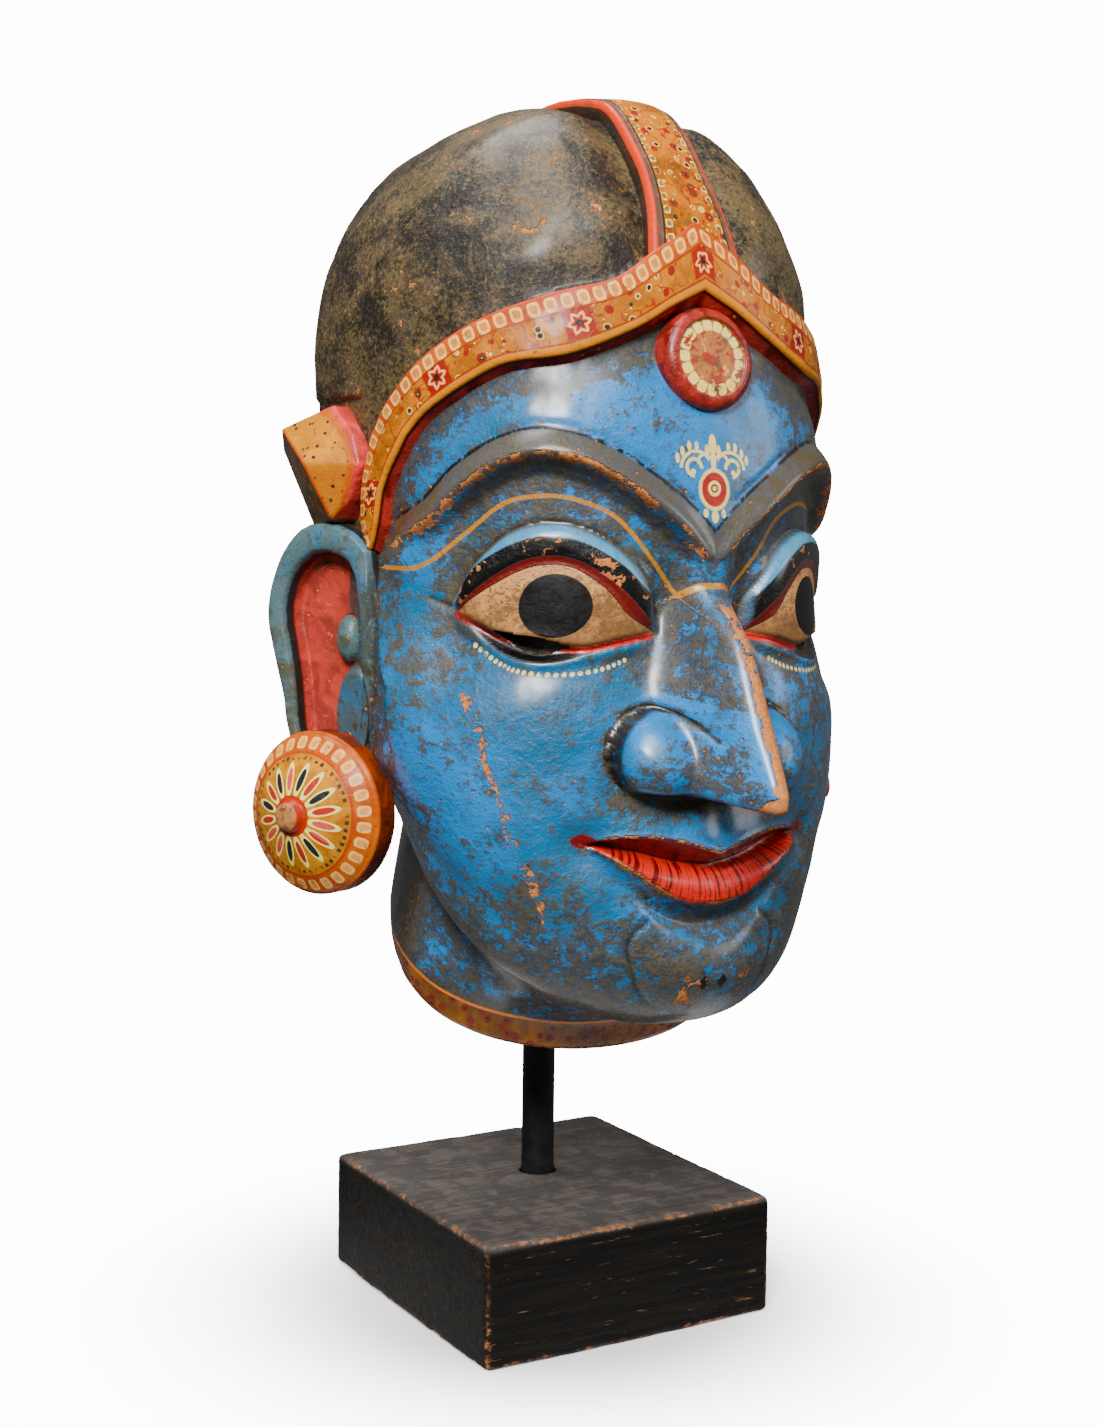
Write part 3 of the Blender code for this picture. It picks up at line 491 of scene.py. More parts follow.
def headPlaces():
    steps = head["rowSteps"]
    return np.concatenate([i + np.arange(n) / n for i, n in enumerate(steps)] + [[float(len(steps))]])


def headTurns(count):
    # Turns in degrees, closer together in front: a straight run plus its cube
    straight = 0.78
    f = np.linspace(-1, 1, count + 1)
    return 90 * (straight * f + (1 - straight) * f**3)


def browAndEye(u, h, near):
    # A brow with a sharp lower edge, a sunk socket, a rolled lid over a ball, and the lower lid's rim
    away, along, side = near["brow"]
    fullness = np.clip(np.sin(np.pi * along), 0, 1)
    width = np.where(side > 0, 3.4 + 3.2 * fullness, 1.6 + 1.2 * fullness)
    rise = (1.5 + 4.0 * fullness**0.8) * bell((away / width) ** 2)
    rise -= 0.9 * bell(((away * side - 9.5) / 2.0) ** 2) * ease(along, 0.04, 0.2)
    browLine = heightOn(lines["brow"], u)
    socket = -5.0 * ease(browLine - h, 0, 9) * (1 - ease(browLine - h, 62, 96)) * (1 - ease(u, 96, 126))
    socket *= ease(u, 2, 16)
    corner = -6.5 * bell(oval(u - 20, h - 176, 11, 17))
    fold, top = heightOn(lines["lidFold"], u), heightOn(lines["eyeTop"], u)
    floor, under = heightOn(lines["eyeFloor"], u), heightOn(lines["lowerLid"], u)
    inside = ease(u, 20, 27) * (1 - ease(u, 98, 107))
    acrossLid = (h - top) / np.maximum(fold - top, 2)
    lid = 6.0 * ball(np.abs(2 * acrossLid - 1) ** 2.6) * inside
    eye = 5.2 * ball(oval(u - 63, h - 180, 45, 25)) * inside
    eye *= ease(h, floor - 1.0, floor + 1.4)
    crease = -1.1 * bell((near["lidFold"][0] / 1.1) ** 2) * inside
    ledge = 1.8 * bell(((h - under) / 2.4) ** 2) * ease(u, 24, 34) * (1 - ease(u, 98, 108))
    slit = -1.5 * bell(((h - (floor + under) / 2) / 2.6) ** 2) * ease(u, 50, 60) * (1 - ease(u, 88, 98))
    canthus = -0.8 * bell((near["canthus"][0] / 1.1) ** 2)
    return rise + socket + corner + np.maximum(lid, eye) + crease + ledge + slit + canthus


def mouthAndChin(u, h, near):
    # Lips that turn in to their seam from sharp edges, the hollow below, the chin and its cut arcs
    top, seam, foot = (heightOn(lines[label], u) for label in ("lipTop", "lipSeam", "lipFoot"))
    inside = 1 - ease(u, 40, 48)
    muzzle = 7.0 * bell(oval(u, h - 93, 30, 15))
    upper = np.clip((top - h) / np.maximum(top - seam, 1), 0, 1) * (h > seam)
    lower = np.clip((h - foot) / np.maximum(seam - foot, 1), 0, 1) * (h <= seam)
    turnIn = -(9.5 * upper**1.3 + 9.5 * lower**2.2) * inside
    pout = 2.5 * ball((2 * lower - 0.9) ** 2) * (lower > 0) * inside
    rims = (0.7 * bell(((h - top) / 1.1) ** 2) + 1.0 * bell(((h - foot - 0.6) / 1.3) ** 2)) * inside
    under = -6.5 * bell((u / 30) ** 2) * bell(((h - foot + 7.5) / 5.5) ** 2)
    chin = 4.0 * bell(oval(u, h - 41, 27, 17))
    corners = -3.5 * bell(oval(u - 47, h - 92, 9, 9))
    philtrum = -1.2 * bell(oval(u, h - 99, 4, 9))
    arcs = -1.0 * bell((near["chinArc"][0] / 1.2) ** 2) * ease(u, 12, 26) * ease(h, 30, 40)
    return muzzle + turnIn + pout + rims + under + chin + corners + philtrum + arcs


def noseRise(x, h):
    # A ridge that widens downwards, joined with a half ball for each wing
    x = np.abs(x)
    rise = np.where((h > 188) | (h < 110), 0, valueAt(nose["rise"], h))
    q = np.clip(x / valueAt(nose["halfWidth"], h), 0, 2)
    base = math.hypot(1, nose["ridge"]) - nose["ridge"]
    share = 1 - (np.hypot(np.append(q.ravel(), 2.0), nose["ridge"]) - nose["ridge"]) / base
    soft = 0.5 * (share + np.hypot(share, nose["foot"]))
    ridge = rise * np.minimum(soft[:-1] - soft[-1], 1).reshape(q.shape)
    (wingX, wingH), (wide, tall) = nose["wingPlace"], nose["wingSize"]
    wing = nose["wingRise"] * ball(oval(x - wingX, h - wingH, wide, tall)) * ease(h, 111, 116)
    return 0.5 * (ridge + wing + np.hypot(ridge - wing, 1.4 * np.minimum(wing, 3.0)))


def aboveBand(u, h):
    return (h > heightOn(lines["bandTop"][:8], u)) | (u > lines["bandTop"][7][0])


def bandAndHair(u, h, x, near):
    # The skin sinks below the headband, and the hair above it and beside the crest
    skin = -4.5 * bell((near["bandFoot"][0] / 17) ** 2) - 4.0 * bell(oval(u, h - 271.8, 32, 30))
    beside = np.maximum(np.abs(x) - crest["halfWidth"], 0)
    hair = np.minimum(-3.5 * bell((near["bandTop"][0] / 13) ** 2), -7.0 * bell((beside / 12) ** 2))
    return np.where(aboveBand(u, h), hair, skin * ease(h, 196, 206))


def smoothGrid(field, reach):
    # Repeated three-point means along both directions of the grid
    for _ in range(reach):
        padded = np.pad(field, 1, mode="edge")
        field = (padded[1:-1, 1:-1] * 2 + padded[:-2, 1:-1] + padded[2:, 1:-1]
                 + padded[1:-1, :-2] + padded[1:-1, 2:]) / 6
    return field


def carveHead(turn, place):
    # The main form with its relief and handwork, the nose pushed forward, and flat seats for the ears
    form = headForm(turn, place)
    x, h = form[..., 0], form[..., 2]
    u = np.abs(turn) * head["spread"]
    near = {label: lineField(u, h, keys) for label, keys in lines.items()}
    facing = headFacing(turn, place)
    front = place > 1.7
    raised = np.where(front, browAndEye(u, h, near) + mouthAndChin(u, h, near), 0) * (np.abs(turn) < 75)
    raised = raised + bandAndHair(u, np.where(front, h, 400), x, near)
    proud = noseRise(x, h) * (np.abs(turn) < 40) * front
    wingCut = -1.5 * bell((near["wing"][0] / 1.2) ** 2) * front
    seam = -1.2 * bell(((u - 152) / 1.3) ** 2) * (1 - ease(h, 196, 204)) * ease(place, 0, 12) * (h > 92)
    handwork = 0.45 * roughness3(form, 26, 3) + 0.28 * roughness3(form, 11, 4)
    handwork += 0.10 * roughness3(form, 4.5, 5)
    onHair = (place < 3) | aboveBand(u, h)
    handwork += onHair * (0.35 * roughness3(form, 15, 6) + 0.16 * roughness3(form, 6, 7))
    calm = 1 - 0.8 * ease(5.2 - np.hypot((u - 63) / 8, (h - 180) / 4.4), 0, 1)
    edge = ease(90 - np.abs(turn), 0, 4)
    carved = form + facing * (raised + wingCut + seam + handwork * calm * edge)[..., None]
    carved[..., 1] += proud
    carved[..., 2] -= nose["droop"] * proud
    carved[..., 1] = np.where(np.abs(turn) > 89.99, 0, np.maximum(carved[..., 1], 0))
    seat = np.array(head["earSeatLine"])[::-1]
    ahead = carved[..., 1] - np.interp(carved[..., 2], seat[:, 0], seat[:, 1])
    free = 14 * (ease(ahead, -0.6, 1.0) + 1 - ease(h, 90, 94) + ease(h, 258, 262))
    limit = head["earSeat"] + free
    carved[..., 0] = np.clip(carved[..., 0], -limit, limit)
    relief = raised + 0.8 * proud + wingCut
    return carved, near, h, relief


def makeHead(finish):
    turn, place = np.meshgrid(headTurns(head["columns"]), headPlaces())
    carved, near, h, relief = carveHead(turn, place)
    outer = toWorld(carved)
    rows, columns = turn.shape
    everyRow, everyColumn = (rows - 1) // head["insideRows"], (columns - 1) // head["insideColumns"]
    print("head grid", rows, "by", columns)
    insideTurn, insidePlace = turn[::everyRow, ::everyColumn], place[::everyRow, ::everyColumn]
    inner = toWorld(headForm(insideTurn, insidePlace, head["wall"]))
    inner[..., 1] = np.where(np.abs(insideTurn) > 89.9, backY, inner[..., 1])
    insideRows, insideColumns = inner.shape[:2]
    faces = gridFaces(rows, columns) + gridFaces(insideRows, insideColumns, flip=True, offset=rows * columns)
    # The rim: each face has one inner edge and the run of outer edges beside it
    outerEdge = borderOf(rows, columns)
    innerEdge = [rows * columns + i for i in borderOf(insideRows, insideColumns)]
    runs = [everyColumn] * (insideColumns - 1) + [everyRow] * (insideRows - 1)
    at = 0
    for k, run in enumerate(runs + runs):
        outerRun = [outerEdge[(at + m) % len(outerEdge)] for m in range(run + 1)]
        faces.append(outerRun[::-1] + [innerEdge[k], innerEdge[(k + 1) % len(innerEdge)]])
        at += run

    def both(field, within=0.0):
        # A value for each outer point, and one number for all inner points
        return np.concatenate([np.ravel(field), np.full(insideRows * insideColumns, within)])

    values = {"turnU": both(turn * head["spread"]), "highH": both(h), "placeP": both(place),
              "slitWall": both(0 * h), "hidden": both(0 * h, 1.0),
              "cavity": both(relief - smoothGrid(relief, 14)), "beadsAlong": both(near["beads"][1])}
    values.update({label: both(away * side, 99.0) for label, (away, _, side) in near.items()})
    points = np.vstack([outer.reshape(-1, 3), inner.reshape(-1, 3)])
    thing = makePiece("mask_head", points, faces, finish, values)
    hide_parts("mask")
    for side in (-1, 1):
        cutSlit(thing, side)
    return thing


def cutSlit(thing, side):
    # The slit under one eyeball: half its width follows a half ball's profile, and it runs through the wall
    across = np.linspace(eyeSlit["start"], eyeSlit["end"], eyeSlit["steps"])
    swellIn = ball(((across - eyeSlit["middle"]) / eyeSlit["halfLength"]) ** 2)
    low, high = heightOn(lines["lowerLid"], across), heightOn(lines["eyeFloor"], across)
    middle, half = (low + high) / 2, (high - low) / 2 * swellIn
    height = np.stack([middle + half, middle - half])
    turn = side * np.stack([across, across]) / head["spread"]
    ends = [onHead(turn, height + up, 0 * turn + rise) for up, rise in (eyeSlit["outer"], eyeSlit["inner"])]
    mesh = closedMesh("slitCut", np.concatenate(ends), wallFaces(2, len(across)))
    # The cut's walls are marked here, and the paint makes them near-black as painted shade of the opening
    addValues(mesh, {"slitWall": np.ones(len(mesh.vertices))})
    tool = addObject("slitCut", mesh)
    cut = thing.modifiers.new("slit", "BOOLEAN")
    cut.operation, cut.solver, cut.object = "DIFFERENCE", "EXACT", tool
    bpy.context.view_layer.objects.active = thing
    with bpy.context.temp_override(object=thing, active_object=thing):
        bpy.ops.object.modifier_apply(modifier=cut.name)
    bpy.data.objects.remove(tool, do_unlink=True)


def headFinish():
    tint = headPaint
    f = Finish("painted_head", **glaze)
    u, h, placeP = f.value("turnU"), f.value("highH"), f.value("placeP")
    cavity, hidden = f.value("cavity"), f.value("hidden")
    farU = abs(u)
    big = f.noise(60, 3, 0.6)
    middle, small, fine = f.layers(17, 0.6, 4.5, 1.3)
    streak = f.noise(9, 4, 0.7, 1.2, f.stretched(1.0, 1.0, 2.6))
    jitter = (small - 0.5) * 1.6 + (fine - 0.5) * 0.8    # makes the edges of painted areas uneven, in units

    # Blue skin: brush changes, then brown-green grime under the band, and grime mixed with painted shade in
    # hollows, sockets, beside the nose, at the jaw, on the neck and the far side
    skin = f.mix(big.ramp(0.38, 0.62), tint["deepBlue"], tint["blue"])
    skin = f.mix(streak.ramp(0.56, 0.74) * 0.25, skin, tint["paleBlue"])
    skin = f.mix(middle.ramp(0.54, 0.68) * 0.55, skin, tint["deepBlue"])
    belowBand = 0.0 - f.value("bandFoot")
    underBand = (belowBand + (u < 0.0) * 7.0).ramp(24, 8) * f.value("bandFoot").ramp(2, 0) * (h > 196)
    socket = f.value("brow").ramp(6, -3) * f.value("brow").ramp(-70, -45) * (h > 150) * farU.ramp(126, 96)
    jaw = h.ramp(96, 44) * (placeP < 9.6)
    seamSide = farU.ramp(112, 146) * (h < 205)
    besideNose = farU.ramp(46, 34) * h.ramp(150, 120) * h.ramp(96, 106)
    strokes = f.noise(3.4, 5, 0.8, 0.9, f.stretched(0.6, 0.6, 1.2))
    ragged = (middle - 0.5) * 1.1 + (small - 0.5) * 1.2 + (strokes - 0.5) * 2.0 + (fine - 0.5) * 0.8
    # This share is part grime and part painted shade: hollows, eye sockets, beside the nose, the jaw, the
    # neck under the jaw and the far side of the face are darkened where shade falls
    grimeAndShade = (ragged - cavity * 0.24 + underBand * 0.56 + socket * 0.34 + jaw * 0.44 + seamSide * 0.50
                  + besideNose * 0.34 + (placeP > 8.6) * 0.34 + u.ramp(20, 60) * 0.22 - 0.01)
    darkening = f.mix(strokes.ramp(0.45, 0.6), tint["darkGrimeAndShade"], tint["grime"])
    skin = f.mix(grimeAndShade.ramp(0.05, 0.34) * 0.88, skin, darkening)
    specks = f.noise(2.2, 4, 0.75, 1.0) + (middle - 0.5) * 0.4 + grimeAndShade * 0.14
    skin = f.mix(specks.ramp(0.56, 0.66) * 0.7, skin, tint["grime"])
    rough = (seamSide * (farU < 151.0) * (small * 0.6 + fine * 0.5 + middle * 0.3)).ramp(0.55, 0.72)
    skin = f.mix(rough * 0.85, skin, f.mix(fine.ramp(0.5, 0.62), tint["darkGrimeAndShade"], shade(128, 98, 70)))
    # Darker in the carving's hollows: grime and painted shade
    skin = f.mix(((0.0 - cavity) * 0.45 + (small - 0.5)).ramp(0.30, 0.75), skin, tint["darkGrimeAndShade"])

    # Brow band, its dark upper line, the ochre line and the bridge line
    brow = f.value("brow") + jitter * 0.6
    browHere = (h > 190) * farU.ramp(140, 134)
    browMask = brow.ramp(9.0, 7.8) * brow.ramp(-2.4, -1.2) * browHere
    skin = f.mix(browMask * 0.92, skin, f.mix(middle.ramp(0.4, 0.65), tint["brow"], tint["grime"]))
    browLine = abs(brow - 9.0).ramp(1.2, 0.3) * browHere * (small + fine * 0.4).ramp(0.56, 0.68)
    skin = f.mix(browLine, skin, tint["lash"])
    ochre = abs(f.value("ochre") + jitter * 0.15).ramp(1.0, 0.6).most(
        abs(f.value("bridge") + jitter * 0.15).ramp(1.2, 0.8))
    ochre = ochre * (fine + small).ramp(0.66, 0.80)
    skin = f.mix(ochre, skin, tint["ochre"])
    wing = abs(f.value("wing")).ramp(1.3, 0.5) * (small + fine * 0.5).ramp(0.48, 0.62) * farU.ramp(9, 16)
    skin = f.mix(wing * 0.85, skin, tint["lash"])
    arcs = abs(f.value("chinArc")).ramp(1.1, 0.3).most(abs(f.value("canthus")).ramp(1.3, 0.4))
    skin = f.mix(arcs * farU.ramp(12, 24) * 0.4, skin, tint["lash"])

    # Eye: light lid, black rim, red line, ball, pupil, red line below, dark slit
    inEye = farU.ramp(22, 26) * farU.ramp(108, 103)
    fold, top, edge = f.value("lidFold"), f.value("eyeTop"), f.value("lidEdge")
    floor, under = f.value("eyeFloor"), f.value("lowerLid")
    lidMask = fold.ramp(0.6, -0.4) * edge.ramp(-0.5, 0.5) * inEye
    skin = f.mix(lidMask, skin, f.mix(small.ramp(0.45, 0.6) * 0.5, tint["lid"], tint["blue"]))
    rim = abs(fold).ramp(1.3, 0.3) * inEye
    skin = f.mix(rim * 0.75, skin, tint["brow"])
    lash = edge.ramp(-0.3, 0.3) * (edge + jitter * 0.3).ramp(7.4, 6.6) * inEye * fold.ramp(-0.6, -1.6)
    skin = f.mix(lash, skin, tint["lash"])
    redTop = edge.ramp(0.35, -0.15) * top.ramp(-0.5, 0.1) * inEye
    skin = f.mix(redTop, skin, tint["red"])
    eyeball = top.ramp(0.25, -0.25) * floor.ramp(-0.4, 0.4) * inEye
    veins = f.noise(3.4, 5, 0.75, 2.2, f.stretched(0.8, 0.8, 1.3))
    cream = f.mix((veins * 0.8 + middle * 0.3).ramp(0.52, 0.64) * 0.9, tint["white"], tint["stain"])
    low = ((180 - h) * 0.035 + abs(farU - 63.0) * 0.006 + (middle - 0.5) * 1.3 + (small - 0.5) * 0.6)
    cream = f.mix(low.ramp(0.0, 0.50) * 0.8, cream, tint["stain"])
    chip = (small * 0.8 + fine * 0.6).ramp(0.92, 0.96)
    pupil = (oval(farU - 63, h - 180, 14.0, 11.6) + jitter * 0.02).ramp(1.04, 0.98)
    cream = f.mix(pupil, cream, f.mix(chip * 0.8, tint["pupil"], tint["stain"]))
    skin = f.mix(eyeball, skin, cream)
    redFloor = abs(floor + 0.9).ramp(1.5, 1.0) * inEye * top.ramp(0.5, 0.0)
    skin = f.mix(redFloor, skin, f.mix(farU.ramp(60, 75), tint["lowerLip"], tint["red"]))
    # Near-black at the slit, also past both ends of the cut: painted shade standing in for the dark opening
    slit = (floor + 1.9).ramp(0.2, -0.6) * under.ramp(-0.8, 0.2) * inEye
    skin = f.mix(slit * farU.ramp(44, 56) * farU.ramp(99, 92), skin, tint["lash"])

    # Beads of pale paint under the eye
    step = (f.value("beadsAlong") * 25).part() - 0.5
    bead = ((step * 2.7) ** 2 + f.value("beads") ** 2).root()
    skin = f.mix(bead.ramp(1.05, 0.75) * (fine + small).ramp(0.78, 0.92), skin, tint["cream"])

    # Lips
    lipTop, seam, foot = f.value("lipTop"), f.value("lipSeam"), f.value("lipFoot")
    inLip = farU.ramp(48, 46)
    upper = (lipTop + jitter * 0.2).ramp(0.5, -0.2) * seam.ramp(-0.2, 0.4) * inLip
    lower = seam.ramp(0.3, -0.3) * (foot + jitter * 0.2).ramp(-0.4, 0.3) * inLip
    skin = f.mix(upper, skin, f.mix(small.ramp(0.4, 0.62), tint["upperLip"], shade(104, 18, 16)))
    rays = f.noise(1.5, 2, 0.6, 0.0, flatPlace(f, u + u * foot * 0.02, h * 0.06))
    lipColour = f.mix(rays.ramp(0.50, 0.62) * seam.ramp(0.0, -2.0), tint["lowerLip"], tint["upperLip"])
    lipColour = f.mix(rays.ramp(0.54, 0.60) * foot.ramp(0.6, 2.4) * 0.85, lipColour, shade(120, 22, 20))
    skin = f.mix(lower, skin, lipColour)
    corner = oval(farU - 47.0, h - 93.6, 4.6, 2.6).ramp(1.15, 0.9)
    skin = f.mix(corner, skin, tint["upperLip"])

    # Forehead mark: scrolls, leaves and a red oval, from circles and ellipses
    skin = foreheadMark(f, skin, farU, h, fine, small)

    # Chin diamonds
    diamond = (abs(farU - 4.2) + abs(h - 41.0)).ramp(2.9, 2.3)
    skin = f.mix(diamond, skin, tint["lash"])

    # Collar: ochre ground, red flowers and dark dots between two lines
    collar = (placeP + jitter * 0.008).ramp(11.02, 11.08)
    spot = f.cells(4.6)
    ground = f.mix(middle.ramp(0.4, 0.65), shade(178, 108, 16), shade(128, 74, 18))
    ground = f.mix(spot.ramp(0.44, 0.36) * spot.ramp(0.16, 0.22), ground, shade(150, 44, 34))
    ground = f.mix(spot.ramp(0.20, 0.13), ground, shade(38, 46, 40))
    ground = f.mix(abs(placeP - 11.12).ramp(0.07, 0.03), ground, shade(222, 152, 40))
    skin = f.mix(collar, skin, ground)

    # Hair: black lacquer with olive and tan mottling
    band = f.value("bandTop")
    hairy = ((band > 0.0) * (h > 199.0)).most(placeP < 3.0).most((farU > 143) * (h > 204))
    mottle = f.noise(1.8, 4, 0.75, 0.6)
    lacquer = f.mix((middle * 0.6 + big * 0.4).ramp(0.46, 0.58), tint["hair"], tint["hairBrown"])
    olive = (big * 0.5 + mottle * 0.8 + middle * 0.2).ramp(0.72, 0.88)
    lacquer = f.mix(olive * 0.85, lacquer, tint["hairOlive"])
    lacquer = f.mix((mottle * 0.6 + small * 0.5).ramp(0.50, 0.40) * 0.7, lacquer, shade(30, 28, 26))
    tan = (fine * 0.5 + small * 0.6 + middle * 0.35).ramp(0.83, 0.87)
    lacquer = f.mix(tan * 0.8, lacquer, shade(170, 120, 66))
    skin = f.mix(hairy, skin, lacquer)

    # Bare wood on ridges, in the long scratch, at the lip rims, the nose and the brow's edge
    browWear = abs(brow + 0.6 + (small - 0.5) * 4.0).ramp(1.7, 1.2) * browHere
    browWear = browWear * (middle * 0.6 + small * 0.6 + fine * 0.3).ramp(0.70, 0.76)
    lipWear = abs(foot - 0.3 + jitter * 0.5).ramp(1.3, 0.8).most(abs(lipTop + jitter * 0.4).ramp(0.9, 0.5))
    lipWear = lipWear * farU.ramp(42, 36) * (small + fine * 0.6 + middle * 0.5).ramp(1.00, 1.08)
    lashWear = lash * (middle * 0.9 + small * 1.0).ramp(1.05, 1.09)
    noseEdge = (middle - 0.5) * 7.0 + (small - 0.5) * 5.0
    noseWear = (u + noseEdge).ramp(-2.6, -1.6) * (u - noseEdge * 0.3).ramp(9.0, 7.0)
    noseWear = noseWear * (h > 112) * h.ramp(185, 180) * (small + (150 - h) * 0.006).ramp(0.22, 0.34)
    tip = (oval(u - 0.5, h - 117.5, 6.0, 7.5) + noseEdge * 0.1).ramp(1.1, 0.95)
    tip = tip * (small + fine * 0.4).ramp(0.50, 0.58)
    scratch = abs(f.value("scratch") + (middle - 0.5) * 10).ramp(2.7, 1.5) * (u < 0.0)
    scratch = scratch * (small * 0.9 + middle * 0.4 + fine * 0.3).ramp(0.80, 0.86) * h.ramp(150, 146)
    flakes = f.cells(5.5).ramp(0.15, 0.09) * big.ramp(0.46, 0.60) * middle.ramp(0.44, 0.54)
    chinWear = oval(u, h - 36, 30, 9).ramp(1.2, 0.5) * (middle + small * 0.7).ramp(0.92, 0.98)
    hairWear = hairy * (middle * 0.9 + small * 0.7 + big * 0.4).ramp(1.20, 1.24)
    face = (1.0 - hairy) * (1.0 - collar)
    wear = browWear.most(lipWear).most(lashWear).most(noseWear).most(tip).most(scratch).most(chinWear)
    wear = (wear * face).most(hairWear).most(flakes * 0.9 * (1.0 - eyeball)) * (1.0 - hidden)
    bare = f.mix(fine.ramp(0.35, 0.65), tint["wood"], tint["paleWood"])
    # Bare wood darker in hollows: dirt and painted shade
    bare = f.mix((small - cavity * 0.05).ramp(0.60, 0.70) * 0.5, bare, shade(130, 84, 50))
    skin = f.mix(wear, skin, bare)

    # The hollow inside and the rim are bare dark wood
    grain = f.noise(5, 4, 0.6, 0.5, f.stretched(1.0, 1.0, 0.15))
    skin = f.mix(hidden, skin, f.mix(grain.ramp(0.35, 0.7), tint["inside"], shade(66, 50, 36)))
    # The slit's cut walls are near-black: painted shade of the opening
    skin = f.mix(f.value("slitWall").ramp(0.3, 0.6), skin, shade(12, 11, 11))

    height = (middle * 0.8 + small * 0.7 + strokes * 0.35 + fine * 0.30) * (1.0 - eyeball * 0.8) - wear * 0.9
    height = height + grain * hidden * 1.5
    gloss = 0.26 + small * 0.20 + wear * 0.40 + grimeAndShade.ramp(0.1, 0.6) * 0.10 + hairy * 0.12 + hidden * 0.4
    coat = (1.0 - wear) * (1.0 - hidden) * (0.85 - hairy * 0.60 - eyeball * 0.65)
    return f.finish(skin, gloss.least(1.0), height, 0.0009, coat)


def foreheadMark(f, skin, farU, h, fine, small):
    # Rings and ellipses about the mark's middle; the scrolls are rings kept to one side
    cream, red = headPaint["cream"], shade(196, 50, 36)

    def ellipse(across, up, wide, tall):
        return oval(farU - across, h - up, wide, tall).ramp(1.12, 0.88)

    def ring(across, up, radius, width):
        gap = ((farU - across) ** 2 + (h - up) ** 2).root() - radius
        return abs(gap).ramp(width, width * 0.6)

    mark = ring(8.6, 231.4, 3.1, 0.85) * (1.0 - (farU < 8.6) * (h < 231.0))
    mark = mark.most(ring(7.4, 230.6, 6.8, 0.8) * (h > 231.0) * (farU > 2.0))
    mark = mark.most(ring(3.6, 233.4, 3.0, 0.7) * (h > 232.6))
    for leaf in ((0, 240.0, 1.7, 4.0), (2.6, 237.6, 1.0, 2.4), (0, 233.6, 1.1, 4.6), (9.0, 229.8, 1.1, 1.0),
                 (15.6, 234.6, 0.9, 1.9), (13.4, 237.2, 0.9, 1.8), (10.4, 239.2, 0.9, 1.8),
                 (7.2, 239.4, 0.9, 1.7), (0, 223.4, 7.0, 7.8), (0, 213.4, 1.6, 2.4), (4.0, 214.6, 1.1, 1.7)):
        mark = mark.most(ellipse(*leaf))
    skin = f.mix(mark * (fine + small).ramp(0.70, 0.84), skin, cream)
    skin = f.mix(ellipse(0, 223.4, 5.6, 6.4), skin, red)
    return f.mix(ring(0, 223.8, 2.3, 0.8).most(ellipse(0, 223.8, 0.9, 0.9)), skin, cream)


# The headband over the forehead, the crest over the crown, and the medallion

band = dict(
    steps=440, root=12.0, wallDrop=3.5, pitch=6.2, flowerGap=57.0,
    face=[(0.0, -0.6), (0.012, 0.5), (0.04, 1.1), (0.3, 1.8), (0.6, 1.9), (0.9, 1.7), (0.97, 1.4), (1.0, 0.7),
          (1.1, -0.8), (1.9, -6.8), (2.0, -7.6)])

crest = dict(
    halfWidth=15.5, flare=0.33, root=12.0, steps=190, columns=49, length=3.2,
    face=[(0.0, 1.2), (0.7, 1.05), (0.78, 0.5), (0.82, 0.75), (0.93, 0.6), (1.0, -1.2)])

medallion = dict(
    height=271.8, rise=10.0, proud=1.5, blocks=17,
    profile=[(20.2, -6.0), (20.2, 0.0), (19.8, 2.2), *arc((14.6, 6.0), (4.8, 4.0), 5, 85, 9),
             (14.9, 9.4), (14.3, 8.8), (13.4, 9.2), (9.0, 9.5), (4.0, 9.3), (0.4, 9.4)])


def wholeSweep(keys, count):
    # The line from one ear to the other: its half, mirrored at the nose
    half = smoothPath(keys, count + 1)
    return np.vstack([half[::-1] * (-1, 1), half[1:]])


def alongLine(points):
    return np.concatenate([[0.0], np.cumsum(np.linalg.norm(np.diff(points, axis=0), axis=1))])


def makeBand(finish):
    # Straight between matching points of its two edges, raised by its face profile, with a wall under it
    half = band["steps"] // 2
    top, foot = wholeSweep(lines["bandTop"], half), wholeSweep(lines["bandFoot"], half)
    across = np.concatenate([np.linspace(0, 0.04, 5), np.linspace(0.08, 0.94, 26), np.linspace(0.97, 1.1, 7),
                             np.linspace(1.25, 2.0, 9)])[:, None]
    share = np.minimum(across, 1)
    u = top[:, 0] * (1 - share) + foot[:, 0] * share
    h = top[:, 1] * (1 - share) + foot[:, 1] * share - band["wallDrop"] * np.maximum(across - 1, 0)
    rise = np.interp(across, *np.array(band["face"]).T) + 0 * u
    turn = u / head["spread"]
    spots = np.stack([u, h, 0 * h], -1)
    rise = rise + 0.30 * roughness3(spots, 17, 21) + 0.22 * roughness3(spots, 6, 22) * ease(across, 0, 0.05)
    face, root = onHead(turn, h, rise), onHead(turn, h, 0 * rise - band["root"])

    def onFace(line):
        # The line in space, in units
        return onHead(line[:, 0] / head["spread"], line[:, 1], np.zeros(len(line))) / unit

    along = alongLine(onFace((top + foot) / 2))
    along = along - along[len(along) // 2]
    wide = np.linalg.norm(onFace(top) - onFace(foot), axis=1)
    values = {"bandAlong": along + 0 * u, "bandAcross": across + 0 * u, "bandWide": wide + 0 * u}
    thing = shellPiece("mask_headband", face, root, finish, values)
    return thing


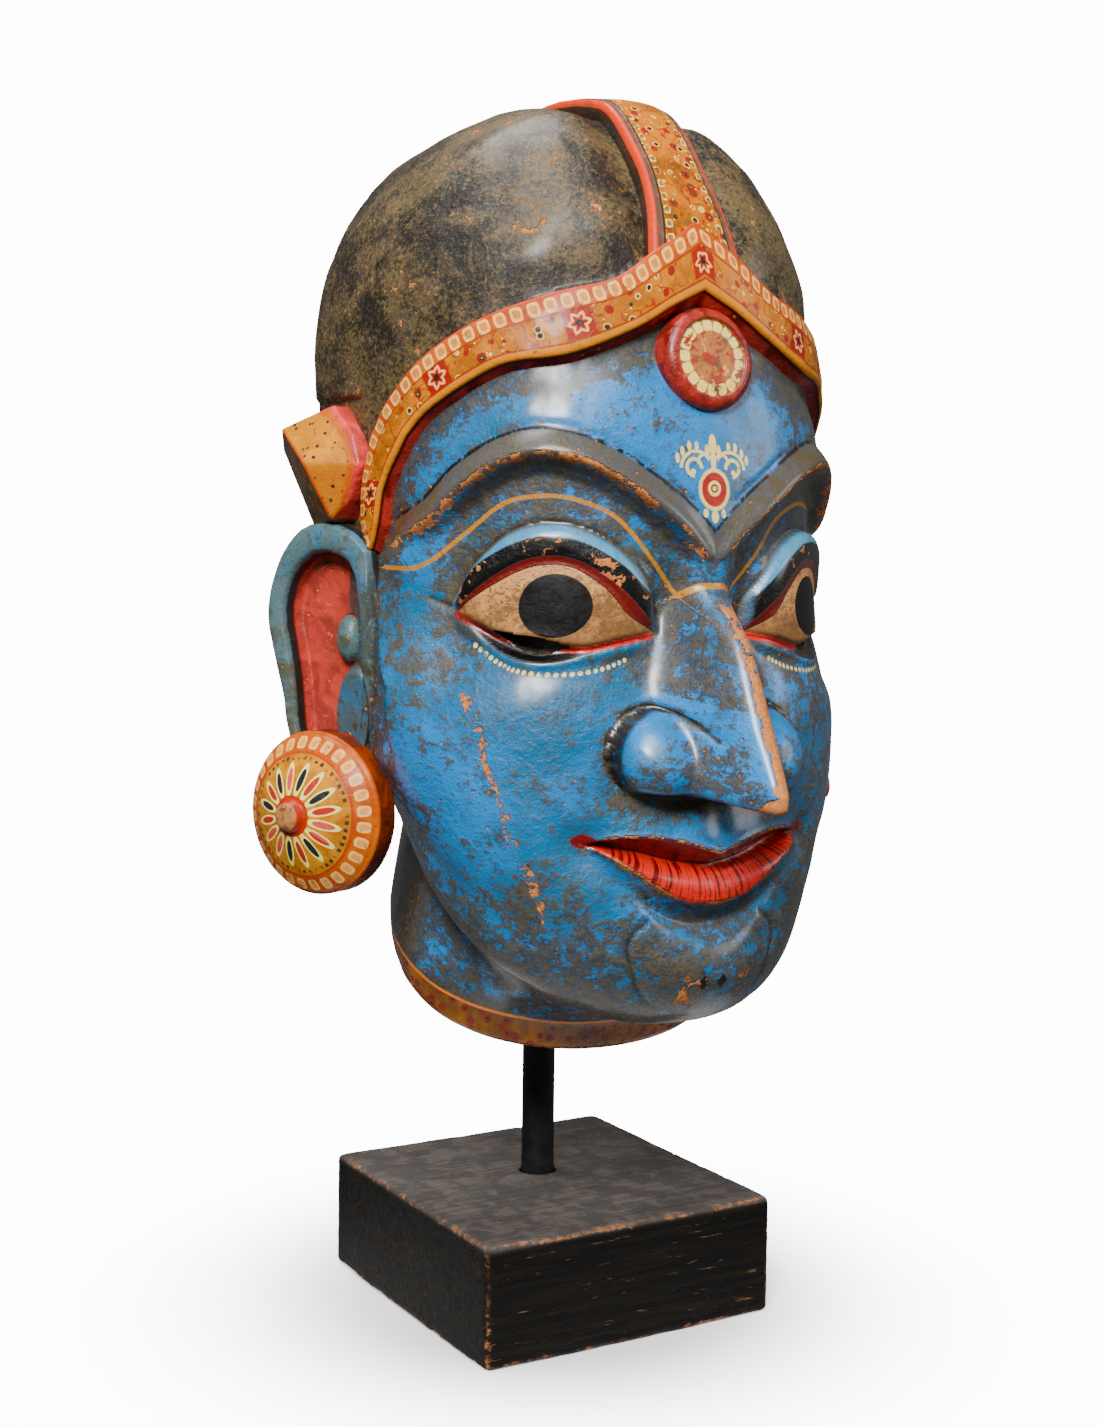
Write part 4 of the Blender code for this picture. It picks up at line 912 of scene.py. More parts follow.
def makeCrest(finish):
    # Rows over the crown: x is the half width times the share across, flared towards the band's peak
    place, across = np.meshgrid(np.linspace(0, crest["length"], crest["steps"]),
                                np.linspace(-1, 1, crest["columns"]), indexing="ij")
    x = crest["halfWidth"] * across * (1 + crest["flare"] * ease(place, 2.6, 3.1))
    turn = np.degrees(np.arcsin(x / head["domeHalfWidth"] / (1 + head["fullness"])))
    form, facing = headForm(turn, place), headFacing(turn, place)
    rise = np.interp(np.abs(across), *np.array(crest["face"]).T)
    rise = rise + 0.30 * roughness3(form, 15, 31) + 0.15 * roughness3(form, 5, 32)
    face, root = form + facing * rise[..., None], form - facing * crest["root"]
    face[..., 1], root[..., 1] = np.maximum(face[..., 1], 0), np.maximum(root[..., 1], 0)
    along = alongLine(form[:, crest["columns"] // 2])[:, None]
    values = {"crestX": x, "crestAcross": across, "crestAlong": along + 0 * x}
    thing = shellPiece("mask_crest", toWorld(face), toWorld(root), finish, values)
    return thing


def makeMedallion(finish):
    place = placeFor(0.0, medallion["height"])
    facing = headFacing(np.array(0.0), place)
    centre = toWorld(headForm(0.0, place) + facing * (medallion["proud"] - medallion["rise"]))
    aim = (float(facing[0]), -float(facing[1]), float(facing[2]))
    thing = turnedPiece("mask_medallion", medallion["profile"], 128, centre, aim, finish)
    return thing


# Patterns of old paint that the ochre pieces share

def flatPlace(f, x, y, z=0.0):
    # A place on a flat pattern, given in units
    return f.node("ShaderNodeCombineXYZ", None, {"X": x * unit, "Y": y * unit, "Z": z})


def roundPlace(f, x, y):
    # Distance from the middle, and the share of a whole turn round it
    return (x * x + y * y).root(), f.maths("ARCTAN2", y, x) / (2 * math.pi)


def stepRound(turn, radius, count):
    # Units round from the middle of the nearest of so many equal steps
    return ((turn * count).part() - 0.5) * radius * (2 * math.pi / count)


def cartouche(x, y, wide, tall):
    # A rounded block and its heart, from a high power of the shares across and up
    square = (abs(x) / wide) ** 3.5 + (abs(y) / tall) ** 3.5
    return square.ramp(1.15, 0.85), square.ramp(0.217, 0.093)


def flowers(f, base, x, y, size, seed):
    # Dots with rings, red petals and small cream specks, each on its own scattered cells
    place = flatPlace(f, x, y, seed)
    spot = f.cells(size, place, 0.8)
    kind = f.node("ShaderNodeSeparateColor", None, {"Color": f.cells(size, place, 0.8, "Color")})
    other = f.cells(size * 0.55, flatPlace(f, x, y, seed + 3.7))
    wave = f.noise(size * 1.6, 1.5, 0.5, 0.3, flatPlace(f, x, y, seed + 1.3))
    base = f.mix(abs(wave - 0.52).ramp(0.022, 0.008) * 0.85, base, shade(184, 60, 42))
    base = f.mix(spot.ramp(0.44, 0.38) * (kind > 0.70), base, shade(184, 50, 44))
    base = f.mix(spot.ramp(0.34, 0.29) * (kind < 0.46), base, shade(226, 192, 132))
    dark = f.mix(kind.ramp(0.5, 0.6), shade(52, 48, 40), shade(44, 74, 58))
    base = f.mix(spot.ramp(0.26, 0.19) * (kind > 0.06), base, dark)
    base = f.mix(spot.ramp(0.10, 0.06) * (kind > 0.70), base, shade(232, 186, 100))
    return f.mix(other.ramp(0.15, 0.10) * (wave > 0.50), base, shade(236, 214, 160))


def agedOchre(f, middle, small):
    # Ochre ground in two tones with brighter spots
    ochre = f.mix(middle.ramp(0.35, 0.65), shade(214, 148, 4), shade(192, 114, 6))
    return f.mix(small.ramp(0.55, 0.72) * 0.5, ochre, shade(222, 158, 28))


def finishOld(f, colour, wear, small, fine, middle, coat):
    # Dirt in patches, wood where the paint is gone, and a worn gloss
    grime = (middle * 0.7 + small * 0.5).ramp(0.66, 0.86) * 0.55
    colour = f.mix(grime, colour, shade(112, 76, 44))
    wood = f.mix(fine.ramp(0.35, 0.65), headPaint["wood"], headPaint["paleWood"])
    colour = f.mix(wear, colour, wood)
    height = middle * 0.7 + small * 0.6 + fine * 0.2 - wear * 0.8
    gloss = 0.26 + small * 0.18 + wear * 0.35 + grime * 0.2
    return f.finish(colour, gloss, height, 0.0008, (1.0 - wear) * coat)


def bandFinish():
    f = Finish("painted_headband", **oldGlaze)
    along, across, wide = f.value("bandAlong"), f.value("bandAcross"), f.value("bandWide")
    middle, small, fine = f.layers(16, 0.5, 4.2, 1.2)
    down = across * wide
    rose = f.mix(middle.ramp(0.4, 0.6), shade(214, 118, 36), shade(202, 92, 36))
    colour = agedOchre(f, middle, small)
    # Middle strip of dots and flowers between two thin red lines
    strip = across.ramp(0.36, 0.38) * across.ramp(0.86, 0.84)
    colour = f.mix(strip, colour, flowers(f, colour, along, down, 4.9, 0.0))
    # Round flowers of six petals on cream blocks
    sideways = ((along / band["flowerGap"] + 0.5).part() - 0.5) * band["flowerGap"]
    upward = (across - 0.6) * wide
    reach, turn = roundPlace(f, sideways, upward)
    petal = abs((turn * 6).part() - 0.5) * 3.4 + 2.3
    block = abs(sideways).most(abs(upward)).ramp(5.8, 5.2)
    bloom = f.mix(abs(reach - petal).ramp(0.9, 0.4), shade(190, 52, 44), shade(226, 188, 140))
    bloom = f.mix(reach.ramp(1.6, 1.0), bloom, shade(60, 42, 40))
    colour = f.mix(block, colour, bloom)
    # Row of cream blocks along the top
    cell = ((along / band["pitch"]).part() - 0.5) * band["pitch"]
    row = across.ramp(0.36, 0.35)
    colour = f.mix(row, colour, rose)
    body, heart = cartouche(cell, (across - 0.21) * wide + (small - 0.5) * 0.8, 2.25, 2.9)
    worn = (small + fine * 0.6).ramp(0.55, 0.75)
    colour = f.mix(body * worn, colour, shade(226, 192, 134))
    colour = f.mix(heart * 0.75, colour, shade(204, 122, 56))
    colour = f.mix(across.ramp(0.075, 0.06) * small.ramp(0.3, 0.45), colour, shade(216, 88, 60))
    edge = abs(across - 0.37).ramp(0.022, 0.010).most(abs(across - 0.85).ramp(0.022, 0.010))
    colour = f.mix(edge * 0.85, colour, shade(176, 62, 40))
    colour = f.mix(across.ramp(0.865, 0.885), colour, shade(222, 160, 0))
    wall = f.mix(middle.ramp(0.40, 0.62), shade(204, 78, 68), shade(140, 36, 34))
    wall = f.mix(across.ramp(1.22, 1.05), wall, shade(106, 28, 26))
    colour = f.mix(across.ramp(1.005, 1.05), colour, wall)
    chips = f.cells(9).ramp(0.12, 0.07) * middle.ramp(0.5, 0.6)
    wear = chips.most(across.ramp(0.03, 0.005) * (small + middle * 0.5).ramp(0.92, 1.02))
    return finishOld(f, colour, wear, small, fine, middle, 0.22)


def crestFinish():
    f = Finish("painted_crest", **oldGlaze)
    x, across, along = f.value("crestX"), f.value("crestAcross"), f.value("crestAlong")
    middle, small, fine = f.layers(16, 0.5, 4.2, 1.2)
    side = abs(across)
    colour = flowers(f, agedOchre(f, middle, small), x, along, 4.9, 5.0)
    olive = (middle * 0.8 + small * 0.5).ramp(0.66, 0.80) * 0.75
    colour = f.mix(olive, colour, shade(126, 94, 40))
    sweepLine = abs((x * x * 0.05 + along * 0.075).part() - 0.5).ramp(0.045, 0.02)
    colour = f.mix(sweepLine * side.ramp(0.6, 0.5) * 0.8, colour, shade(212, 90, 44))
    cell = ((along / 6.0).part() - 0.5) * 6.0
    body, heart = cartouche(cell, (side - 0.60) * 16, 1.9, 1.3)
    colour = f.mix(body * (small + fine * 0.6).ramp(0.72, 0.90), colour, shade(232, 204, 150))
    colour = f.mix(heart * 0.8, colour, shade(126, 78, 48))
    worn = f.mix((middle * 0.6 + small * 0.5).ramp(0.45, 0.62), shade(150, 104, 82), shade(114, 84, 64))
    colour = f.mix(side.ramp(0.70, 0.72), colour, worn)
    colour = f.mix(abs(side - 0.715).ramp(0.028, 0.010), colour, shade(58, 42, 32))
    colour = f.mix((side + (small - 0.5) * 0.05).ramp(0.85, 0.87), colour, shade(222, 90, 66))
    wall = f.value("deep").ramp(0.05, 0.10)
    colour = f.mix(wall, colour, f.mix(middle.ramp(0.42, 0.58), shade(96, 54, 40), shade(62, 50, 42)))
    wear = (middle * 0.8 + small * 0.6).ramp(0.93, 1.0) * 0.7
    return finishOld(f, colour, wear, small, fine, middle, 0.16)


def medallionFinish():
    f = Finish("painted_medallion", **glaze)
    x, y, z = f.value("flatX"), f.value("flatY"), f.value("flatZ")
    middle, small, fine = f.layers(8, 0.6, 3.2, 1.2)
    radius, turn = roundPlace(f, x, y)
    colour = f.mix(middle.ramp(0.42, 0.60), shade(190, 62, 54), shade(140, 38, 36))
    colour = f.mix(small.ramp(0.58, 0.70) * 0.6, colour, shade(216, 112, 98))
    face = radius.ramp(15.2, 14.6) * (z > 5.0)
    ground = f.mix(middle.ramp(0.45, 0.58), shade(198, 134, 72), shade(130, 92, 58))
    ground = f.mix((small + middle * 0.4).ramp(0.72, 0.80), ground, shade(196, 60, 48))
    ground = f.mix(f.noise(5, 3, 0.6, 0.4).ramp(0.60, 0.66), ground, shade(222, 180, 124))
    body, _ = cartouche(stepRound(turn, radius, medallion["blocks"]), radius - 12.2, 2.0, 2.1)
    ground = f.mix(body * middle.ramp(0.62, 0.54), ground, shade(236, 208, 156))
    colour = f.mix(face, colour, ground)
    darkening = (z + small * 3.0).ramp(3.4, 0.6)
    colour = f.mix(darkening * 0.8, colour, shade(70, 56, 46))
    return finishOld(f, colour, (small * 0.9 + fine * 0.3).ramp(0.84, 0.9) * face, small, fine, middle, 0.32)


# The ears: a rolled rim round a sunk hollow, a knob, a flap and the column down the seam

ear = dict(
    place=(98.5, 46.0), turn=26.0, centre=(21.0, 166.0), thickness=11.0, hollow=7.0, rings=64, steps=220,
    outline=[(-2.6, 200.3), (4.4, 206), (10.9, 209.1), (18.4, 211), (27, 210), (33.7, 207.1), (42.5, 197.2),
             (48.2, 183.2), (49.2, 171.2), (46.5, 159.3), (42.3, 143.5), (38.5, 125.7), (30, 108), (12, 106),
             (0, 118), (-6, 141), (-8, 168)],
    knob=(12.0, 165.0, 6.5, 10.0), lobe=(7.0, 136.0, 10.5, 20.0))

ornament = dict(
    place=(104.0, 40.0), turn=15.0, root=16.0, edge=0.86, lip=1.0, bevel=0.7,
    plate=[(9, 255.3), (-3.5, 243), (-7.5, 231.8), (-1.5, 218.6), (5.6, 210.2), (20, 208), (30, 222.9),
           (40, 239), (36, 247.5)],
    ridge=[(31, 246.5, 8.0), (11.5, 232.4, 13.0), (4.5, 211.5, 4.6)])

stud = dict(
    place=(115.9, 36.0, 97.5), turn=26.0, radius=32.0, side=12.5, dome=14.0, boss=(5.5, 4.0),
    petals=16, dashes=48, blocks=28)


def plateAxes(place, angle):
    # A plate's middle, the direction back along it, and the direction it faces
    turn = math.radians(angle)
    back = np.array([-math.sin(turn), -math.cos(turn), 0.0])
    facing = np.array([-math.cos(turn), math.sin(turn), 0.0])
    return np.array([-place[0], place[1], 0.0]), back, facing


def onPlate(part, across, height, rise):
    # Across, height and rise on a plate that stands on the left side of the head, in world metres
    middle, back, facing = plateAxes(part["place"], part["turn"])
    drawn = middle + np.asarray(across)[..., None] * back + np.asarray(rise)[..., None] * facing
    drawn[..., 2] = height
    return toWorld(drawn)


def mirrorX(points, side):
    # The drawn side is +1, and -1 puts it on the other side of the nose
    return points * np.array([side, 1.0, 1.0])


def earField(a, h, d):
    # Height above the plate from the distance to the border, with the knob, the flap and the column added
    rim = 6.0 + 3.4 * ease(h, 120, 168) + 4.2 * ease(h, 186, 203)
    tube = ball(((d - rim * 0.45) / (rim * 0.6)) ** 2)
    bowl = -ear["hollow"] * ease(d, rim * 0.85, rim + 2.2)
    edge = -4.0 * (1 - ease(d, 0, 1.8))
    level = bowl + (1.0 + 0.22 * rim) * tube + edge
    column = 1.6 * bell(((a + 2.5) / 4.5) ** 2) * ease(h, 150, 157) * (1 - ease(h, 186, 196))
    knob, lobe = (ball(oval(a - across, h - up, wide, tall))
                  for across, up, wide, tall in (ear["knob"], ear["lobe"]))
    knob, lobe = 6.6 * knob, 6.2 * np.minimum(lobe, 0.62) / 0.62
    return np.maximum(level + column, np.maximum(knob, lobe) - ear["hollow"]), knob, lobe


def makeEar(side, label, finish):
    # Rings from the middle of the ear out to its outline, back over its edge, and in again behind it
    border = smoothPath(ear["outline"] + ear["outline"][:1], ear["steps"] + 1)
    outline = border[:-1]

    def rings(start, end, count):
        share = np.linspace(start, end, count)[:, None]
        return [middle + (line - middle) * share for middle, line in zip(ear["centre"], outline.T)]

    a, h = rings(0.012, 1, ear["rings"])
    gap = np.sqrt(((a[..., None] - border[:, 0]) ** 2 + (h[..., None] - border[:, 1]) ** 2).min(-1))
    level, knob, lobe = earField(a, h, gap)
    spots = np.stack([a, h, level], -1)
    level = level + 0.35 * roughness3(spots, 13, 41) + 0.18 * roughness3(spots, 5, 42) * ease(gap, 0, 2)
    turnBack = np.array([[0.3], [0.75], [1.0]])
    sink = np.array([[-3.0], [-8.0], [-ear["thickness"]]])
    edge = [outline[:, 0] + 0 * sink, outline[:, 1] + 0 * sink, level[-1] * (1 - turnBack) + sink * turnBack]
    behind = rings(0.9, 0.02, 8)
    behind.append(np.full_like(behind[0], -ear["thickness"]))
    a2, h2, rise2 = (np.vstack(parts) for parts in zip((a, h, level), edge, behind))
    points = mirrorX(onPlate(ear, a2, h2, rise2), side)
    total, count = a2.shape
    extra = np.zeros((total - len(a), count))
    values = {"plateBack": a2, "plateHigh": h2, "plateRise": rise2, "border": np.vstack([gap, extra]),
              "knob": np.vstack([knob, extra]), "lobe": np.vstack([lobe, extra])}
    thing = makePiece("ear_plate_" + label, points, tubeFaces(total, count), finish, values)
    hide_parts("ear_" + label)
    return thing


def makeOrnament(side, label, finish):
    # The hull of the plate's outline, low and raised, and the bent ridge, with its edges rounded
    outline = np.array(ornament["plate"], float)
    middle = outline.mean(axis=0)
    inset = middle + (outline - middle) * ornament["edge"]
    ridge = np.array(ornament["ridge"])
    levels = [(outline, -ornament["root"]), (outline, 0.0), (inset, ornament["lip"])]
    rings = [onPlate(ornament, *line.T, np.full(len(line), rise)) for line, rise in levels]
    rings.append(onPlate(ornament, *ridge.T))
    build = bmesh.new()
    for spot in mirrorX(np.concatenate(rings), side):
        build.verts.new(spot)
    bmesh.ops.convex_hull(build, input=build.verts)
    bmesh.ops.delete(build, geom=[v for v in build.verts if not v.link_faces], context="VERTS")
    bmesh.ops.dissolve_limit(build, angle_limit=0.06, verts=build.verts, edges=build.edges)
    bmesh.ops.bevel(build, geom=build.edges, offset=ornament["bevel"] * unit, segments=3, profile=0.5,
                    affect="EDGES")
    bmesh.ops.triangulate(build, faces=[f for f in build.faces if len(f.verts) > 4])
    bmesh.ops.recalc_face_normals(build, faces=build.faces)
    mesh = bpy.data.meshes.new("ear_ornament_" + label)
    build.to_mesh(mesh)
    build.free()
    spots = np.empty(len(mesh.vertices) * 3, np.float32)
    mesh.vertices.foreach_get("co", spots)
    origin, back, facing = plateAxes(ornament["place"], ornament["turn"])
    drawn = toDrawn(mirrorX(spots.reshape(-1, 3), side)) - origin
    away, _, above = lineField(drawn @ back, drawn[:, 2], ridge[::-1, :2])
    addValues(mesh, {"plateHigh": drawn[:, 2], "plateRise": drawn @ facing, "ridgeSide": away * above})
    thing = addPiece("ear_ornament_" + label, mesh, finish)
    return thing


def makeStud(side, label, finish):
    # A drum with a rounded edge, a dome on it and a small boss in the middle
    middle, _, facing = plateAxes(stud["place"], stud["turn"])
    middle[2] = stud["place"][2]
    centre = mirrorX(toWorld(middle), side)
    aim = (side * float(facing[0]), -float(facing[1]), 0.0)
    radius, dome, (boss, bossRise) = stud["radius"], stud["dome"], stud["boss"]
    low = -stud["side"]
    profile = [(radius - 3.0, low), (radius - 1.0, low + 0.8), (radius, low + 2.5)]
    profile += arc((radius - 1.5, -1.5), (1.5, 1.5), 0, 75, 6)
    profile += [(radius * s, dome * (1 - s**1.8)) for s in np.linspace(0.955, 0.21, 26)]
    foot = dome * (1 - (boss / radius) ** 1.8)
    profile += [(boss + 0.5, foot + 0.4), (boss, foot + 2.6), (boss - 0.8, foot + bossRise - 0.6),
                (boss - 2.2, foot + bossRise - 0.1), (0.4, foot + bossRise - 0.3)]
    thing = turnedPiece("ear_stud_" + label, profile, 160, centre, aim, finish)
    return thing


def earFinish():
    f = Finish("painted_ear", **glaze)
    a, h, rise = f.value("plateBack"), f.value("plateHigh"), f.value("plateRise")
    border, knob, lobe = f.value("border"), f.value("knob"), f.value("lobe")
    middle, small, fine = f.layers(14, 0.6, 4.0, 1.2)
    streak = f.noise(5, 4, 0.7, 1.0, f.stretched(1.0, 1.0, 1.8))
    skin = f.mix(middle.ramp(0.46, 0.58), shade(98, 128, 132), shade(94, 100, 80))
    skin = f.mix((small * 0.6 + middle * 0.6).ramp(0.60, 0.68) * h.ramp(150, 200), skin, shade(84, 142, 170))
    skin = f.mix(small.ramp(0.58, 0.70) * 0.6, skin, shade(66, 70, 60))
    salmon = f.mix(middle.ramp(0.42, 0.62), shade(208, 88, 76), shade(176, 66, 58))
    salmon = f.mix(streak.ramp(0.60, 0.70) * 0.7, salmon, shade(220, 136, 116))
    salmon = f.mix((small * 0.8 + h.ramp(180, 205) * 0.3).ramp(0.56, 0.70) * 0.75, salmon, shade(110, 60, 48))
    deep = (rise + (small - 0.5) * 1.2).ramp(-1.8, -3.0)
    black = (rise + (small - 0.5) * 1.2).ramp(0.9, -0.2) * rise.ramp(-4.0, -2.6) * (border < 40.0)
    skin = f.mix(deep, skin, salmon)
    skin = f.mix(black * 0.9, skin, shade(26, 25, 24))
    flap = f.mix(middle.ramp(0.45, 0.58), shade(62, 110, 140), shade(78, 98, 104))
    flap = f.mix(small.ramp(0.56, 0.68), flap, shade(70, 66, 56))
    skin = f.mix(lobe.ramp(2.8, 4.2) * h.ramp(158, 152), skin, flap)
    skin = f.mix(lobe.ramp(0.4, 1.6) * lobe.ramp(3.6, 2.4) * h.ramp(160, 152) * 0.85, skin, shade(30, 27, 25))
    lump = f.mix(small.ramp(0.45, 0.60), shade(92, 126, 130), shade(88, 98, 80))
    skin = f.mix(knob.ramp(1.5, 3.0), skin, lump)
    skin = f.mix(knob.ramp(0.2, 1.0) * knob.ramp(2.6, 1.6) * 0.9, skin, shade(34, 28, 25))
    skin = f.mix(rise.ramp(-3.2, -4.4) * border.ramp(0.6, 0.1), skin, shade(80, 62, 46))
    seamDirt = a.ramp(0, -6) * h.ramp(200, 188) * (small + middle * 0.5).ramp(0.55, 0.75)
    skin = f.mix(seamDirt * 0.8, skin, shade(62, 50, 38))
    outer = border.ramp(2.6, 0.4) * a.ramp(24, 34) * h.ramp(205, 190) * rise.ramp(-6, -4)
    wear = outer * (middle * 0.7 + small * 0.6).ramp(0.58, 0.66)
    wear = wear.most(f.cells(7).ramp(0.12, 0.07) * 0.9)
    return finishOld(f, skin, wear, small, fine, middle, 0.16)


def ornamentFinish():
    f = Finish("painted_ornament", **oldGlaze)
    h, rise, ridgeSide = f.value("plateHigh"), f.value("plateRise"), f.value("ridgeSide")
    middle, small, fine = f.layers(12, 0.5, 3.6, 1.2)
    yellow = f.mix(middle.ramp(0.4, 0.6), shade(222, 170, 0), shade(210, 150, 0))
    yellow = f.mix(h.ramp(236, 228) * 0.8, yellow, shade(206, 126, 0))
    dots = f.cells(3.6, None, 0.85)
    yellow = f.mix(dots.ramp(0.25, 0.17), yellow, shade(70, 50, 46))
    olive = f.mix(middle.ramp(0.42, 0.58), shade(136, 96, 52), shade(92, 66, 44))
    olive = f.mix(small.ramp(0.55, 0.66), olive, shade(160, 112, 50))
    olive = f.mix(dots.ramp(0.15, 0.10), olive, shade(50, 40, 36))
    leftFace = ridgeSide.ramp(0.4, -0.4)
    colour = f.mix(leftFace, yellow, olive)
    line = abs(ridgeSide).ramp(1.1, 0.5).most(rise.ramp(3.4, 2.0) * (1.0 - leftFace))
    colour = f.mix(line * 0.7, colour, shade(210, 92, 46))
    rose = f.mix(middle.ramp(0.42, 0.6), shade(222, 104, 100), shade(206, 80, 76))
    colour = f.mix(rise.ramp(1.5, 0.9), colour, f.mix(leftFace, rose, olive))
    wear = (small * 0.7 + middle * 0.6).ramp(0.86, 0.92) * 0.8
    return finishOld(f, colour, wear, small, fine, middle, 0.24)


def studFinish():
    f = Finish("painted_stud", **oldGlaze)
    x, y, z = f.value("flatX"), f.value("flatY"), f.value("flatZ")
    middle, small, fine = f.layers(12, 0.5, 3.4, 1.1)
    radius, turn = roundPlace(f, x, y)
    colour = f.mix(middle.ramp(0.4, 0.62), shade(218, 164, 0), shade(198, 132, 4))
    petal = oval(stepRound(turn, radius, stud["petals"]), radius - 14.2, 1.9, 6.4)
    dark = (turn * (stud["petals"] / 2)).part() > 0.5
    inner = f.mix(dark, shade(206, 68, 60), shade(44, 46, 50))
    inner = f.mix(((turn * 3).part() > 0.72) * 0.9, inner, shade(222, 110, 104))
    colour = f.mix(petal.ramp(1.08, 0.92), colour, shade(238, 214, 166))
    colour = f.mix(petal.ramp(0.52, 0.42), colour, inner)
    dash = (abs(stepRound(turn, radius, stud["dashes"])) / 0.8).most(abs(radius - 22.2) / 0.75)
    colour = f.mix(dash.ramp(1.05, 0.85) * small.ramp(0.40, 0.52), colour, shade(82, 64, 42))
    colour = f.mix(abs(radius - 24.2).ramp(0.75, 0.45), colour, shade(206, 84, 44))
    outer = radius.ramp(24.4, 24.8)
    colour = f.mix(outer, colour, f.mix(middle.ramp(0.4, 0.6), shade(212, 122, 40), shade(200, 98, 40)))
    body, heart = cartouche(stepRound(turn, radius, stud["blocks"]), radius - 27.8, 2.1, 2.3)
    colour = f.mix(body * (small + fine * 0.6).ramp(0.55, 0.75), colour, shade(226, 192, 136))
    colour = f.mix(heart * 0.5, colour, shade(206, 126, 68))
    colour = f.mix(radius.ramp(8.2, 7.9) * radius.ramp(4.6, 5.0), colour, shade(200, 66, 48))
    boss = radius.ramp(5.6, 5.0)
    colour = f.mix(boss, colour, f.mix(small.ramp(0.48, 0.60), shade(196, 142, 92), shade(158, 104, 66)))
    wall = z.ramp(-1.0, -2.0)
    colour = f.mix(wall, colour, f.mix(middle.ramp(0.4, 0.6), shade(172, 66, 34), shade(126, 44, 26)))
    wear = (small * 0.7 + middle * 0.6).ramp(0.90, 0.96) * 0.8
    return finishOld(f, colour, wear, small, fine, middle, 0.22)


# The stand: a steel rod in a worn wooden block

rod = dict(radius=6.98, segments=96, bevel=0.5, rings=40, gap=0.01)

block = dict(corner=2.6, sideSteps=64, holeRadius=7.4, lip=1.1, holeDepth=30.0, dent=0.55, chip=1.4)


def makeRod(finish):
    low, high = rodLow.z / unit, rodHigh.z / unit
    radius, bevel, gap = rod["radius"], rod["bevel"], rod["gap"]
    middle = [(radius, z) for z in np.linspace(low + bevel, high - bevel, rod["rings"])]
    profile = [(0.4, low + gap), (radius - bevel, low + gap), *middle, (radius - bevel, high - gap),
               (0.4, high - gap)]
    centre = ((rodLow.x + rodHigh.x) / 2, (rodLow.y + rodHigh.y) / 2, 0.0)
    thing = turnedPiece("stand_rod", profile, rod["segments"], centre, (0, 0, 1), finish)
    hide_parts("rod")
    return thing


def squareRing(half, corner):
    # Once round a square with rounded corners: clamped to an inner square, then pushed out by the corner
    n = block["sideSteps"]
    run = np.linspace(-1, 1, n, endpoint=False)
    ring = np.vstack([np.stack([run, 0 * run - 1], 1), np.stack([0 * run + 1, run], 1),
                      np.stack([-run, 0 * run + 1], 1), np.stack([0 * run - 1, -run], 1)]) * half
    inner = np.clip(ring, -(half - corner), half - corner)
    out = ring - inner
    return inner + out / np.linalg.norm(out, axis=1, keepdims=True) * corner


